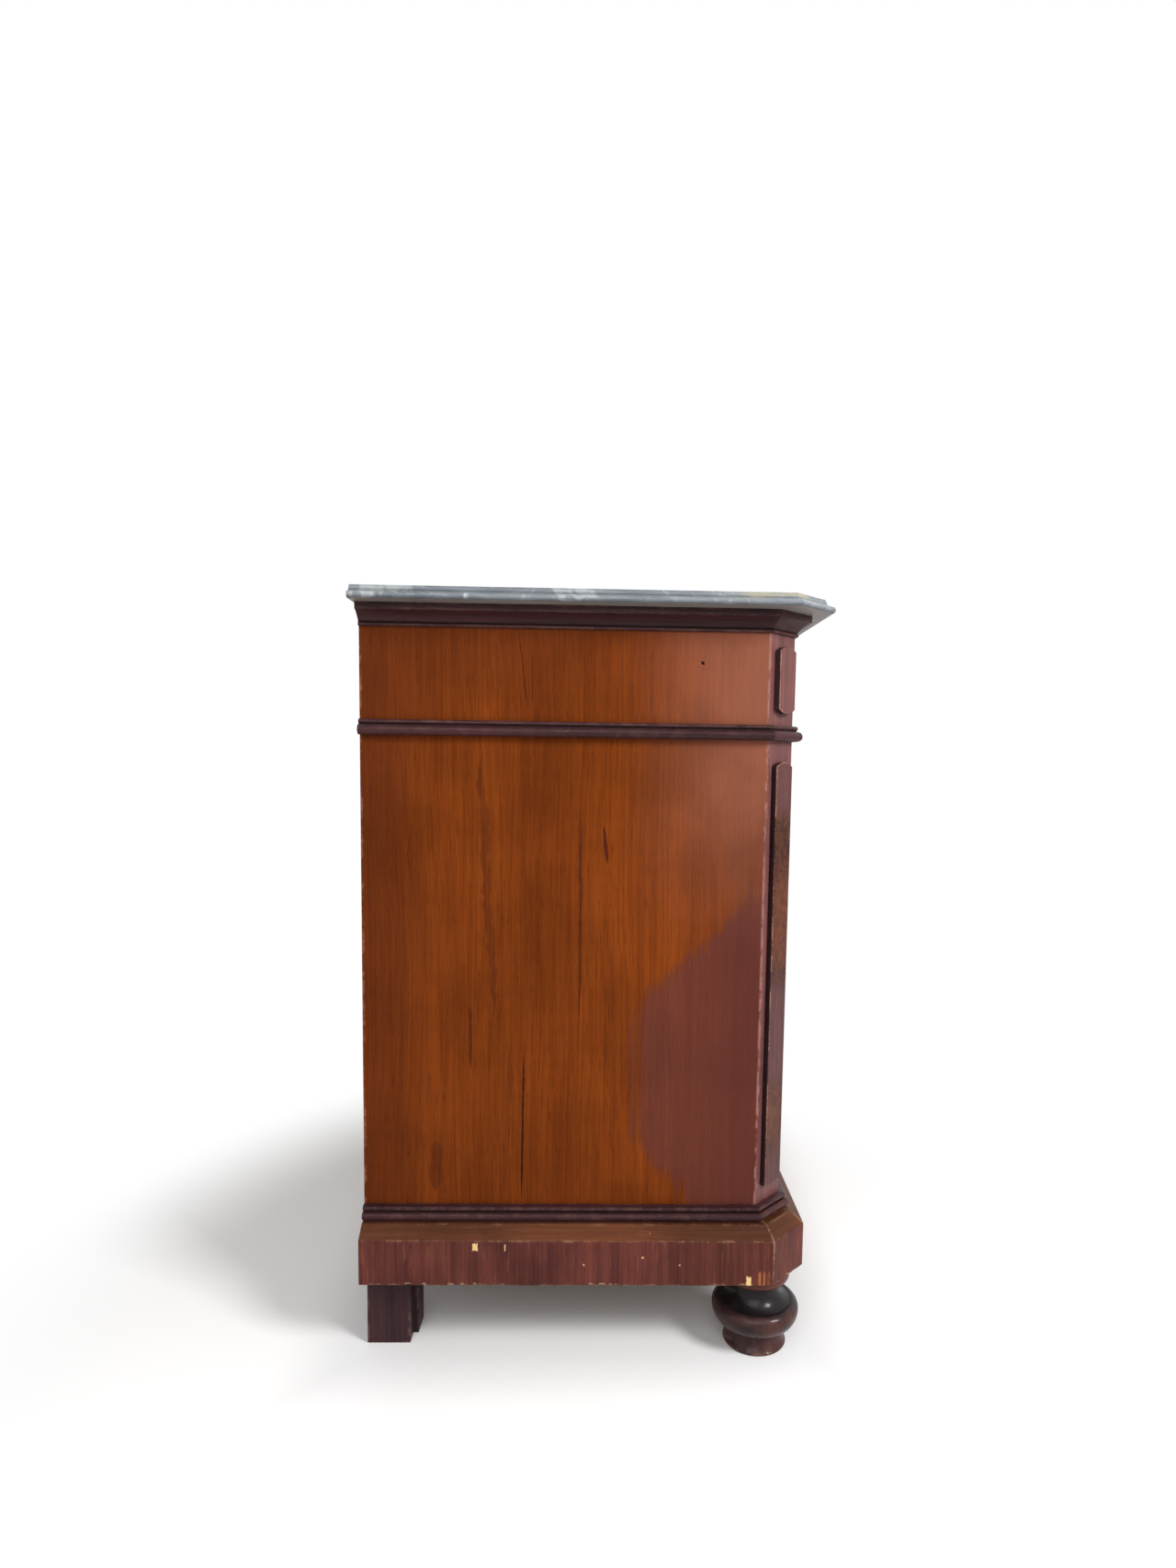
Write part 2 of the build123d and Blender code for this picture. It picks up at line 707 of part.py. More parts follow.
for number, (floor, opening) in enumerate(drawer_levels, start=1):
    front_low = floor + drawer_bottom_clearance
    front_high = floor + opening - drawer_top_clearance
    side_low = floor + running_clearance
    side_high = front_high - side_top_drop
    back_high = side_high - drawer_back_drop
    panel_low = floor + panel_lift
    panel_high = panel_low + panel_thickness
    back_low = panel_high + groove_clearance
    key_z = front_high - key_depth
    selvedge_z = front_high - selvedge_thickness
    label = f"drawer_{number}"

    # The space of the bottom panel, with its clearance, which is cut as a groove
    with BuildPart() as groove:
        with BuildSketch(Plane.XY.offset(panel_low - groove_clearance)):
            with Locations((0, (side_front_y - groove_depth + drawer_rear_y) / 2)):
                Rectangle(2 * (half_drawer - side_thickness + groove_depth),
                          drawer_rear_y - side_front_y + groove_depth)
        extrude(amount=panel_thickness + 2 * groove_clearance)

    # Two sides with dovetails at both ends
    sides = []
    for side in (-1, 1):
        outer = Plane(origin=(side * half_drawer, 0, 0), x_dir=(0, 1, 0), z_dir=(1, 0, 0))
        with BuildPart() as drawer_side:
            with BuildSketch(outer):
                with Locations(((side_front_y + side_rear_y) / 2, (side_low + side_high) / 2)):
                    Rectangle(side_rear_y - side_front_y, side_high - side_low)
                tail_outlines(side_front_y, side_front_y - front_tail, front_low, side_high)
                tail_outlines(side_rear_y, drawer_rear_y, back_low, back_high)
            extrude(amount=-side * side_thickness)
            add(groove.part, mode=Mode.SUBTRACT)
        sides.append(drawer_side.part)
    save(Compound(children=sides), f"{label}_sides")

    # Front: sockets for the tails, groove, and the recess of the lock with its keyhole
    with BuildPart() as drawer_front:
        with BuildSketch(Plane.XY.offset(front_low)):
            with Locations((0, front_y + front_thickness / 2)):
                Rectangle(2 * half_drawer, front_thickness)
        extrude(amount=front_high - front_low)
        add(groove.part, mode=Mode.SUBTRACT)
        for side in (-1, 1):
            with BuildSketch(Plane(origin=(side * half_drawer, 0, 0), x_dir=(0, 1, 0), z_dir=(1, 0, 0))):
                tail_outlines(side_front_y, side_front_y - front_tail, front_low, side_high)
            extrude(amount=-side * side_thickness, mode=Mode.SUBTRACT)
        with BuildSketch(Plane.XY.offset(front_high - lock_height)):
            with Locations((0, side_front_y - lock_wall - lock_case_depth / 2)):
                Rectangle(lock_width, lock_case_depth)
            with Locations((0, side_front_y - lock_wall / 2)):
                Rectangle(lock_width + 2 * lock_flange, lock_wall)
        extrude(amount=lock_height, mode=Mode.SUBTRACT)
        with BuildSketch(Plane.XY.offset(selvedge_z)):
            with Locations((0, side_front_y - (lock_case_depth + lock_wall) / 2)):
                Rectangle(lock_width + 2 * lock_flange, lock_case_depth + lock_wall)
        extrude(amount=selvedge_thickness, mode=Mode.SUBTRACT)
        with BuildSketch(Plane(origin=(0, front_y, 0), x_dir=(1, 0, 0), z_dir=(0, -1, 0))):
            keyhole((0, key_z), keyhole_clearance)
        extrude(amount=lock_wall + lock_case_depth - front_thickness, mode=Mode.SUBTRACT)
        chamfer(drawer_front.faces().sort_by(Axis.Y)[0].outer_wire().edges(), front_chamfer)
    save(drawer_front.part, f"{label}_front")

    # Back, over the bottom panel, with sockets for the tails
    with BuildPart() as drawer_back:
        with BuildSketch(Plane.XY.offset(back_low)):
            with Locations((0, drawer_rear_y - drawer_back_thickness / 2)):
                Rectangle(2 * half_drawer, drawer_back_thickness)
        extrude(amount=back_high - back_low)
        for side in (-1, 1):
            with BuildSketch(Plane(origin=(side * half_drawer, 0, 0), x_dir=(0, 1, 0), z_dir=(1, 0, 0))):
                tail_outlines(side_rear_y, drawer_rear_y, back_low, back_high)
            extrude(amount=-side * side_thickness, mode=Mode.SUBTRACT)
    save(drawer_back.part, f"{label}_back")

    # Bottom panel
    with BuildPart() as drawer_bottom:
        with BuildSketch(Plane.XY.offset(panel_low)):
            panel_front_y = side_front_y - groove_depth + 2 * groove_clearance
            with Locations((0, (panel_front_y + drawer_rear_y) / 2)):
                Rectangle(2 * (half_drawer - side_thickness + groove_depth - 2 * groove_clearance),
                          drawer_rear_y - panel_front_y)
        extrude(amount=panel_thickness)
    save(drawer_bottom.part, f"{label}_bottom")

    # Lock case: a hollow box with its back plate and selvedge, a slot for the bolt and the key's pin
    case_y = side_front_y - lock_wall - lock_case_depth / 2
    with BuildPart() as lock:
        with BuildSketch(Plane.XY.offset(front_high - lock_height)):
            with Locations((0, case_y)):
                Rectangle(lock_width, lock_case_depth)
            with Locations((0, side_front_y - lock_wall / 2)):
                Rectangle(lock_width + 2 * lock_flange, lock_wall)
        extrude(amount=lock_height)
        with BuildSketch(Plane.XY.offset(selvedge_z)):
            with Locations((0, side_front_y - (lock_case_depth + lock_wall) / 2)):
                Rectangle(lock_width + 2 * lock_flange, lock_case_depth + lock_wall)
        extrude(amount=selvedge_thickness)
        with BuildSketch(Plane.XY.offset(front_high - lock_height + lock_wall)):
            with Locations((0, case_y + lock_wall / 2)):
                Rectangle(lock_width - 2 * lock_wall, lock_case_depth - lock_wall)
        extrude(amount=lock_height - lock_wall - selvedge_thickness, mode=Mode.SUBTRACT)
        with BuildSketch(Plane.XY.offset(selvedge_z)):
            with Locations((0, bolt_y)):
                Rectangle(bolt_width + 2 * bolt_clearance, bolt_thickness + 2 * bolt_clearance)
        extrude(amount=selvedge_thickness, mode=Mode.SUBTRACT)
        case_front_y = case_y - lock_case_depth / 2
        with BuildSketch(Plane(origin=(0, case_front_y, 0), x_dir=(1, 0, 0), z_dir=(0, -1, 0))):
            keyhole((0, key_z), keyhole_clearance)
        extrude(amount=-lock_wall, mode=Mode.SUBTRACT)
        with BuildSketch(Plane(origin=(0, side_front_y, 0), x_dir=(1, 0, 0), z_dir=(0, -1, 0))):
            with Locations((0, key_z)):
                Circle(pin_radius)
        extrude(amount=lock_case_depth + lock_wall)
    save(lock.part, f"{label}_lock")

    # Bolt, drawn back at rest
    with BuildPart() as bolt:
        with BuildSketch(Plane.XY.offset(front_high - bolt_length)):
            with Locations((0, bolt_y)):
                Rectangle(bolt_width, bolt_thickness)
        extrude(amount=bolt_length)
    save(bolt.part, f"{label}_bolt")

    # Key: shank bored for the pin, bit, collar and bow
    tip_y = side_front_y - lock_wall - key_end_clearance
    collar_y = front_y - key_collar_length
    bow_y = front_y - key_reach
    with BuildPart() as key:
        with BuildSketch(Plane(origin=(0, tip_y, 0), x_dir=(1, 0, 0), z_dir=(0, -1, 0))):
            with Locations((0, key_z)):
                Circle(key_radius)
        extrude(amount=tip_y - bow_y - bow_width / 2 + bow_section)
        with BuildSketch(Plane(origin=(0, tip_y, 0), x_dir=(1, 0, 0), z_dir=(0, -1, 0))):
            with Locations((0, key_z - bit_radius / 2)):
                Rectangle(bit_thickness, bit_radius)
        extrude(amount=bit_length)
        with BuildSketch(Plane(origin=(0, collar_y, 0), x_dir=(1, 0, 0), z_dir=(0, -1, 0))):
            with Locations((0, key_z)):
                Circle(key_collar_radius)
        extrude(amount=key_collar_length)
        with BuildSketch(Plane(origin=(0, bow_y, key_z), x_dir=(0, 1, 0), z_dir=(1, 0, 0))):
            Ellipse(bow_width / 2, bow_height / 2)
            Ellipse(bow_width / 2 - 2 * bow_section, bow_height / 2 - 2 * bow_section, mode=Mode.SUBTRACT)
        extrude(amount=bow_section, both=True)
        with BuildSketch(Plane(origin=(0, tip_y, 0), x_dir=(1, 0, 0), z_dir=(0, -1, 0))):
            with Locations((0, key_z)):
                Circle(key_bore)
        extrude(amount=lock_case_depth + lock_wall, mode=Mode.SUBTRACT)
    save(key.part, f"{label}_key")

    # Escutcheon: a pointed oval plate round the keyhole
    plate_z = key_z - bit_radius / 2
    with BuildPart() as escutcheon:
        with BuildSketch(Plane(origin=(0, front_y, plate_z), x_dir=(1, 0, 0), z_dir=(0, -1, 0))):
            half = escutcheon_height / 2
            with BuildLine():
                ThreePointArc((0, -half), (escutcheon_width / 2, 0), (0, half))
                ThreePointArc((0, half), (-escutcheon_width / 2, 0), (0, -half))
            make_face()
        extrude(amount=escutcheon_thickness)
        with BuildSketch(Plane(origin=(0, front_y, 0), x_dir=(1, 0, 0), z_dir=(0, -1, 0))):
            keyhole((0, key_z), keyhole_clearance)
        extrude(amount=escutcheon_thickness, mode=Mode.SUBTRACT)
    save(escutcheon.part, f"{label}_escutcheon")
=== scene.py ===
"""Gives a packed chest of four drawers its marble, mouldings, veneers, turned feet and fittings."""

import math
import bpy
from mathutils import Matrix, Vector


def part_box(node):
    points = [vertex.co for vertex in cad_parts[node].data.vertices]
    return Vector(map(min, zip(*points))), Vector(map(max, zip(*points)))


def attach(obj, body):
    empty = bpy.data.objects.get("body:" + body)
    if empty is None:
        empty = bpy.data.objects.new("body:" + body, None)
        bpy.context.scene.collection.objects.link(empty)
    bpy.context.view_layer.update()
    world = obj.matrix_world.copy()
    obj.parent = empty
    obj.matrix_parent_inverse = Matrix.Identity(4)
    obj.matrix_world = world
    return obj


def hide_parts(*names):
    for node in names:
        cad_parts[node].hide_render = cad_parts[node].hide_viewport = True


bl_info = {
    "name": "Chest of drawers",
    "version": (1, 0, 0),
    "blender": (4, 5, 0),
    "location": "3D View > Sidebar > Chest",
    "description": "Marble, mouldings, veneers, turned feet and fittings of a chest of four drawers",
    "category": "Object",
}

from dataclasses import dataclass, field

import bpy
import numpy as np
from bpy.props import FloatProperty, FloatVectorProperty, PointerProperty
from bpy.types import Operator, Panel, PropertyGroup
from mathutils import Matrix, Vector

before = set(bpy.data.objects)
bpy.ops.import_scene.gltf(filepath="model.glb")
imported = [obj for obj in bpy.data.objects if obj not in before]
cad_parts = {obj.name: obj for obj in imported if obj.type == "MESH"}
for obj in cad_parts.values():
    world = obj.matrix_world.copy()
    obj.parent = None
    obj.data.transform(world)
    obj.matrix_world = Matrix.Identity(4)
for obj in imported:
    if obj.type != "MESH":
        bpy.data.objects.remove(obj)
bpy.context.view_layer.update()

PHOTO_WIDTH, PHOTO_HEIGHT = 1280, 1707

# Planes and levels of the packed model
HALF_BODY = -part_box("side_left")[0].x
BACK_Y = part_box("side_left")[1].y
FRONT_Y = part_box("corner_post_left")[0].y
FOOT_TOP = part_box("side_left")[0].z
BODY_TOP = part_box("side_left")[1].z
POST_BACK_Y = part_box("side_left")[0].y
HALF_INSIDE = -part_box("side_left")[1].x
HALF_OPENING = -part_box("corner_post_left")[1].x
SIDES = (-1, 1)
CORNER_CUT = 0.038  # leg of the cut at each front corner of the body
DIAGONAL = math.sqrt(0.5)  # sine and cosine of an eighth of a turn
VENEER = 0.0012  # how far the walnut reaches in behind the front
EDGE_REACH = 0.0018  # how far rubbing spreads from an edge
MARKS_LEVEL = 0.103  # height of the feet that the heights of the marks on the sides were typed for
PANEL_HALF = 0.018  # half the width of the tablets and pilasters
PANEL_ARCH = 0.006  # rise of their arches
PANEL_SOFT = 0.00045  # rounding of their corners
SENSOR = 36.0  # width of the camera's film in millimetres
FLOOR_RADIUS = 14.0
PLINTH_HALF_X, PLINTH_HALF_Y = 0.60, 0.29  # the plinth's footprint on the floor, from its middle


# ---- Sizes and colours that a user may change -------------------------------------------------


def length(name, description, default):
    """A size in metres."""
    return FloatProperty(name=name, description=description, default=default, min=0.0, unit="LENGTH")


def colour(name, description, default):
    """A linear colour."""
    return FloatVectorProperty(
        name=name, description=description, default=default, size=3, min=0.0, max=1.0, subtype="COLOR"
    )


class ChestMarble(PropertyGroup):
    """Edge and colours of the marble top."""

    corner_cut: length("Corner cut", "Leg of the cut at each front corner", 0.053)
    nosing: length("Nosing", "Radius of the rounded lower edge", 0.0045)
    cove: length("Cove", "Radius of the hollow above the nosing", 0.007)
    step: length("Step", "Small upright step under the top edge", 0.0016)
    chip: length("Chips", "Deepest chip in the nosing", 0.0022)
    light: colour("Light", "Pale clouds of the stone", (0.27, 0.295, 0.32))
    dark: colour("Dark", "Deep ground of the stone", (0.115, 0.135, 0.155))
    vein: colour("Vein", "Veins and bruised edges", (0.50, 0.52, 0.53))
    rust: colour("Rust", "Yellow streak in the stone", (0.44, 0.39, 0.25))


class ChestMouldings(PropertyGroup):
    """Profiles of the cornice, waist, base and plinth."""

    body_cut: length("Body corner cut", "Leg of the cut at each front corner of the body", CORNER_CUT)
    plinth_cut: length("Plinth corner cut", "Leg of the cut at each front corner of the plinth", 0.031)
    soft: length("Softness", "Rounding of worn wooden edges", 0.0007)
    cornice_bead: length("Cornice bead", "Radius of the bead under the cornice", 0.0022)
    cornice_fillet: length("Cornice fillet", "Height of the fillet under the marble", 0.009)
    cornice_step: length("Cornice step", "How far the fillet stands over the splay", 0.002)
    waist_torus: length("Waist torus", "Radius of the torus at the waist", 0.0065)
    waist_groove: length("Waist groove", "Width and depth of the groove over the torus", 0.0012)
    base_torus: length("Base torus", "Radius of the torus over the plinth", 0.005)
    base_step: length("Base recess", "Height of the recess under the torus", 0.003)
    base_groove: length("Base groove", "Width and depth of the groove over the torus", 0.0025)
    plinth_round: length("Plinth round", "Radius of the plinth's lower edge", 0.0035)
    plinth_bevel: length("Plinth bevel", "Height of the bevel on top of the plinth", 0.014)
    splinter: length("Splinters", "Deepest chip in the plinth's lower edge", 0.0022)


class ChestFeet(PropertyGroup):
    """Turned front feet."""

    torus: length("Torus radius", "Widest radius of a front foot", 0.059)
    torus_height: length("Torus height", "Height of the widest place", 0.049)
    rim: length("Rim radius", "Where the torus ends in a small step", 0.050)
    rim_height: length("Rim height", "Height of that step", 0.0615)
    waist: length("Waist radius", "Narrowest radius under the torus", 0.034)
    waist_height: length("Waist height", "Height of the narrowest place", 0.025)
    flare: length("Flare radius", "Radius of the hollow flare halfway up", 0.0366)
    flare_height: length("Flare height", "Height of that place", 0.013)
    base: length("Base radius", "Radius of the lowest edge", 0.043)
    base_round: length("Base rounding", "Rounding of the lowest edge", 0.0025)
    neck: length("Neck radius", "Radius of the neck over the torus", 0.031)
    neck_height: length("Neck height", "Where the hollow meets the neck", 0.084)
    collar: length("Collar radius", "Radius of the collar under the plinth", 0.046)
    collar_height: length("Collar height", "Thickness of that collar", 0.013)


class ChestWood(PropertyGroup):
    """Colours of the woods and their polish."""

    side_light: colour("Side light", "Pale streaks of the side boards", (0.225, 0.048, 0.0062))
    side_dark: colour("Side dark", "Dark streaks of the side boards", (0.112, 0.0215, 0.0032))
    side_edge: colour("Side edge", "Darker wood near the edges of a side", (0.082, 0.017, 0.006))
    stain: colour("Stain", "Old wine stain on one side", (0.15, 0.042, 0.041))
    # Bloom in the polish, also used as a painted sheen near the front
    bloom_and_sheen: colour("Haze", "Bloom in the polish near the front", (0.360, 0.140, 0.095))
    moulding_light: colour("Moulding light", "Pale streaks of the mouldings", (0.072, 0.022, 0.022))
    moulding_dark: colour("Moulding dark", "Dark streaks of the mouldings", (0.026, 0.010, 0.013))
    # This rubbed colour also paints a highlight on the edges of the mouldings
    moulding_worn_and_highlight: colour("Moulding worn", "Rubbed edges of the mouldings", (0.170, 0.080, 0.058))
    plinth_light: colour("Plinth light", "Pale streaks of the plinth", (0.150, 0.040, 0.026))
    plinth_dark: colour("Plinth dark", "Dark streaks of the plinth", (0.062, 0.014, 0.014))
    bevel_light: colour("Bevel light", "Pale streaks of the plinth's bevel", (0.150, 0.046, 0.016))
    bevel_dark: colour("Bevel dark", "Dark streaks of the plinth's bevel", (0.060, 0.021, 0.012))
    bare: colour("Bare wood", "Wood under a chip", (0.780, 0.520, 0.240))
    corner_light: colour("Corner light", "Pale streaks of the corner posts", (0.215, 0.078, 0.068))
    corner_dark: colour("Corner dark", "Dark streaks of the corner posts", (0.098, 0.036, 0.037))
    burl_light: colour("Burl light", "Pale whorls of the burl", (0.190, 0.058, 0.026))
    burl_dark: colour("Burl dark", "Dark whorls of the burl", (0.045, 0.013, 0.01))
    foot_light: colour("Foot light", "Rubbed polish on the turned feet", (0.100, 0.034, 0.026))
    foot_dark: colour("Foot dark", "Deep polish on the turned feet", (0.018, 0.007, 0.009))
    block_light: colour("Rear foot light", "Pale streaks of the rear feet", (0.062, 0.022, 0.025))
    block_dark: colour("Rear foot dark", "Dark streaks of the rear feet", (0.026, 0.010, 0.013))
    front_light: colour("Front light", "Pale figure of the drawer fronts", (0.290, 0.105, 0.032))
    front_dark: colour("Front dark", "Dark figure of the drawer fronts", (0.085, 0.024, 0.010))
    poplar_light: colour("Poplar light", "Pale streaks of the inside wood", (0.560, 0.385, 0.205))
    poplar_dark: colour("Poplar dark", "Dark streaks of the inside wood", (0.340, 0.205, 0.095))
    aged_light: colour("Aged light", "Pale streaks of the back and rails", (0.330, 0.210, 0.115))
    aged_dark: colour("Aged dark", "Dark streaks of the back and rails", (0.160, 0.092, 0.048))


class ChestFittings(PropertyGroup):
    """Keys, escutcheons, locks and nails."""

    brass: colour("Brass", "Escutcheon plates", (0.560, 0.370, 0.130))
    tarnish: colour("Tarnish", "Dark film on the brass", (0.120, 0.070, 0.030))
    steel: colour("Steel", "Keys", (0.360, 0.340, 0.310))
    iron: colour("Iron", "Locks and nails", (0.090, 0.078, 0.070))
    rust: colour("Rust", "Rust on iron", (0.160, 0.060, 0.025))
    shank: length("Shank radius", "Radius of a key's shank", 0.0026)
    bow_wire: length("Bow thickness", "Half the thickness of a key's bow", 0.0019)
    plate_round: length("Plate edge", "Rounding of an escutcheon's rim", 0.0008)
    nail: length("Nail head", "Radius of a nail head in the back", 0.0035)


class ChestStage(PropertyGroup):
    """Camera, lamps and floor."""

    camera_place: FloatVectorProperty(
        name="Camera place", description="Where the camera stands", size=3, unit="LENGTH",
        default=(-1.7387, -0.0018, 0.7908),
    )
    camera_turn: FloatVectorProperty(
        name="Camera turn", description="Yaw, downward pitch and roll of the camera", size=3, unit="ROTATION",
        default=(-0.0232, 0.0851, -0.0146),
    )
    focal: FloatProperty(
        name="Focal length", description="Focal length in pixels of the photograph's frame", default=972.1, min=1.0
    )
    middle: FloatVectorProperty(
        name="Middle", description="Where the lens points, in pixels of the photograph's frame", size=2,
        default=(672.0, 913.5),
    )
    floor_colour: colour("Floor", "Plain pale floor", (0.90, 0.90, 0.90))
    floor_lift: FloatProperty(name="Floor lift", description="How much paler the camera sees the floor", default=0.3)
    key_power: FloatProperty(
        name="Key lamp", description="Lamp at the front, high up", default=75.0, min=0.0, subtype="POWER"
    )
    fill_power: FloatProperty(
        name="Fill lamp", description="Large soft lamp over the camera", default=28.0, min=0.0, subtype="POWER"
    )
    sky: FloatProperty(name="Room light", description="Even light from all round", default=0.42, min=0.0)


SETTINGS = {
    "chest_marble": ChestMarble,
    "chest_mouldings": ChestMouldings,
    "chest_feet": ChestFeet,
    "chest_wood": ChestWood,
    "chest_fittings": ChestFittings,
    "chest_stage": ChestStage,
}


# ---- Outlines -----------------------------------------------------------------------------------


def arc(start, through, end, steps=12):
    """Points at even angles on the circle through three points. The centre is as far from each of them."""
    points = np.array([start, through, end], float)
    squares = (points**2).sum(1)
    centre = np.linalg.solve(2 * np.diff(points, axis=0), np.diff(squares))
    angles = np.unwrap(np.arctan2(*(points - centre).T[::-1]))
    turn = np.linspace(angles[0], angles[2], steps + 1)
    return centre + np.hypot(*(points[0] - centre)) * np.column_stack([np.cos(turn), np.sin(turn)])


def outline(*parts, steps=4, reach=0.005):
    """A closed outline from corners (x, y, rounding) and runs of arc points, with its corners rounded.

    A corner P becomes the curve (1-t)^2 A + 2t(1-t) P + t^2 B, where A and B lie on its two edges at the
    rounding's distance, at most 0.3 of an edge. Two more points on each edge keep the flats flat.
    """
    rows = [np.atleast_2d(p) if np.shape(p)[-1] == 3 else np.column_stack([p, np.zeros(len(p))]) for p in parts]
    rows = np.vstack(rows)
    corner, rounding = rows[:, :2], rows[:, 2:]
    last, following = np.roll(corner, 1, 0) - corner, np.roll(corner, -1, 0) - corner
    to_last = np.maximum(np.linalg.norm(last, axis=1, keepdims=True), 1e-9)
    to_next = np.maximum(np.linalg.norm(following, axis=1, keepdims=True), 1e-9)
    cut = np.minimum(rounding, 0.3 * np.minimum(to_last, to_next))
    far = np.where(rounding > 0, cut + reach, 0)
    back, ahead = last / to_last, following / to_next
    t = np.linspace(0, 1, steps + 1)[None, :, None]
    a, b = corner + back * cut, corner + ahead * cut
    curve = (1 - t) ** 2 * a[:, None] + 2 * t * (1 - t) * corner[:, None] + t**2 * b[:, None]
    before = np.stack([corner + back * np.minimum(far, 0.48 * to_last), corner + back * 1.5 * cut], 1)
    after = np.stack([corner + ahead * 1.5 * cut, corner + ahead * np.minimum(far, 0.48 * to_next)], 1)
    loop = np.concatenate([before, curve, after], 1).reshape(-1, 2)
    apart = np.linalg.norm(loop - np.roll(loop, 1, 0), axis=1) > 2e-6
    return loop[apart]


def bends(loop, reach=0.0015):
    """How much a closed outline bulges and hollows near each of its points, from 0 to 1.

    It is the turning angle at every point, gathered along the outline by a bell curve of the distance.
    """
    step = np.roll(loop, -1, 0) - loop
    heading = np.arctan2(step[:, 1], step[:, 0])
    turn = (heading - np.roll(heading, 1) + math.pi) % (2 * math.pi) - math.pi
    run = np.linalg.norm(step, axis=1)
    place = np.cumsum(run) - run
    gap = np.abs(place[:, None] - place[None, :])
    gap = np.minimum(gap, run.sum() - gap)
    gathered = np.exp(-((gap / reach) ** 2) / 2) @ turn
    gathered *= np.sign(turn.sum())
    return np.clip(gathered / 1.2, 0, 1), np.clip(-gathered / 1.2, 0, 1)


def outward(loop):
    """Unit normals of a closed outline, each the mean of its two edges' normals."""
    step = np.roll(loop, -1, 0) - loop
    edge = np.column_stack([step[:, 1], -step[:, 0]])
    edge /= np.maximum(np.linalg.norm(edge, axis=1, keepdims=True), 1e-12)
    normal = edge + np.roll(edge, 1, 0)
    normal /= np.maximum(np.linalg.norm(normal, axis=1, keepdims=True), 1e-12)
    area = (loop[:, 0] * np.roll(loop[:, 1], -1) - np.roll(loop[:, 0], -1) * loop[:, 1]).sum()
    return normal if area > 0 else -normal


def wander(place, spacing, seed):
    """A smooth random curve between 0 and 1: random values at even spacing, eased from one to the next."""
    values = np.random.default_rng(seed).random(4096)
    steps = place / spacing
    whole = np.floor(steps).astype(int)
    part = steps - whole
    ease = part * part * (3 - 2 * part)
    return values[whole % 4096] * (1 - ease) + values[(whole + 1) % 4096] * ease


# ---- Grids of points and the meshes made of them ----------------------------------------------


@dataclass
class Grid:
    """Points in rows of rings. Every ring closes on itself, and so do the rows of a hoop."""

    points: np.ndarray
    fields: dict = field(default_factory=dict)
    hoop: bool = False
    material: int = 0


def drawn_out(loop, low, high, soft, place, soft_low=True, soft_high=True, margin=0.0):
    """A board: an outline drawn out from low to high, with its ends eased.

    Near an end the outline is drawn in by soft (1 - sin a) at the height soft (1 - cos a), for a from 0
    to a quarter turn. place turns the flat points and their heights into points of the model. A margin adds
    the outline once more on the high end, shrunk about its middle by that much on each side.
    """
    turn = np.linspace(0, math.pi / 2, 4)
    reach = min(0.006, 0.4 * (high - low))
    rise = np.concatenate([[0], soft * (1 - np.cos(turn)), [min(1.6 * soft, reach), reach]])
    inset = np.concatenate([[1.8 * soft], soft * (1 - np.sin(turn)), [0, 0]])
    square_rise, square_inset = np.array([0, reach]), np.zeros(2)
    low_rise, low_inset = (rise, inset) if soft_low else (square_rise, square_inset)
    high_rise, high_inset = (rise, inset) if soft_high else (square_rise, square_inset)
    heights = np.concatenate([low + low_rise, (high - high_rise)[::-1]])
    insets = np.concatenate([low_inset, high_inset[::-1]])
    end_gap = np.concatenate([np.abs(low_rise - low_inset), np.abs(high_rise - high_inset)[::-1]])
    end_worn = np.exp(-((end_gap / EDGE_REACH) ** 2))[:, None]
    flat = loop[None] - outward(loop)[None] * insets[:, None, None]
    if margin:
        middle, size = (loop.max(0) + loop.min(0)) / 2, np.ptp(loop, axis=0)
        shrunk = middle + (loop - middle) * (1 - 2 * margin / size)
        flat, heights = np.concatenate([flat, shrunk[None]]), np.append(heights, high)
        insets, end_worn = np.append(insets, margin), np.vstack([end_worn, [[0.0]]])
    worn, deep = bends(loop)
    on_wall = np.exp(-((insets / EDGE_REACH) ** 2))[:, None]
    fields = {
        "worn": np.maximum(worn[None] * on_wall, end_worn),
        "deep": np.broadcast_to(deep, (len(heights), len(loop))),
    }
    return Grid(place(flat, heights[:, None] + 0 * flat[..., 0]), fields)


def on_axes(origin, across, up, out):
    """Places flat points and heights in the model: origin + x across + y up + height out."""
    base = np.array([across, up, out], float)
    return lambda flat, height: np.array(origin, float) + np.concatenate([flat, height[..., None]], -1) @ base


upright = on_axes((0, 0, 0), (1, 0, 0), (0, 1, 0), (0, 0, 1))


def plan_corners(half_width, front, back, cut):
    """Plan of a body with two cut front corners, from the right back round to the left back."""
    right = [(half_width, back), (half_width, front + cut), (half_width - cut, front)]
    return np.array(right + [(-x, y) for x, y in right[::-1]])


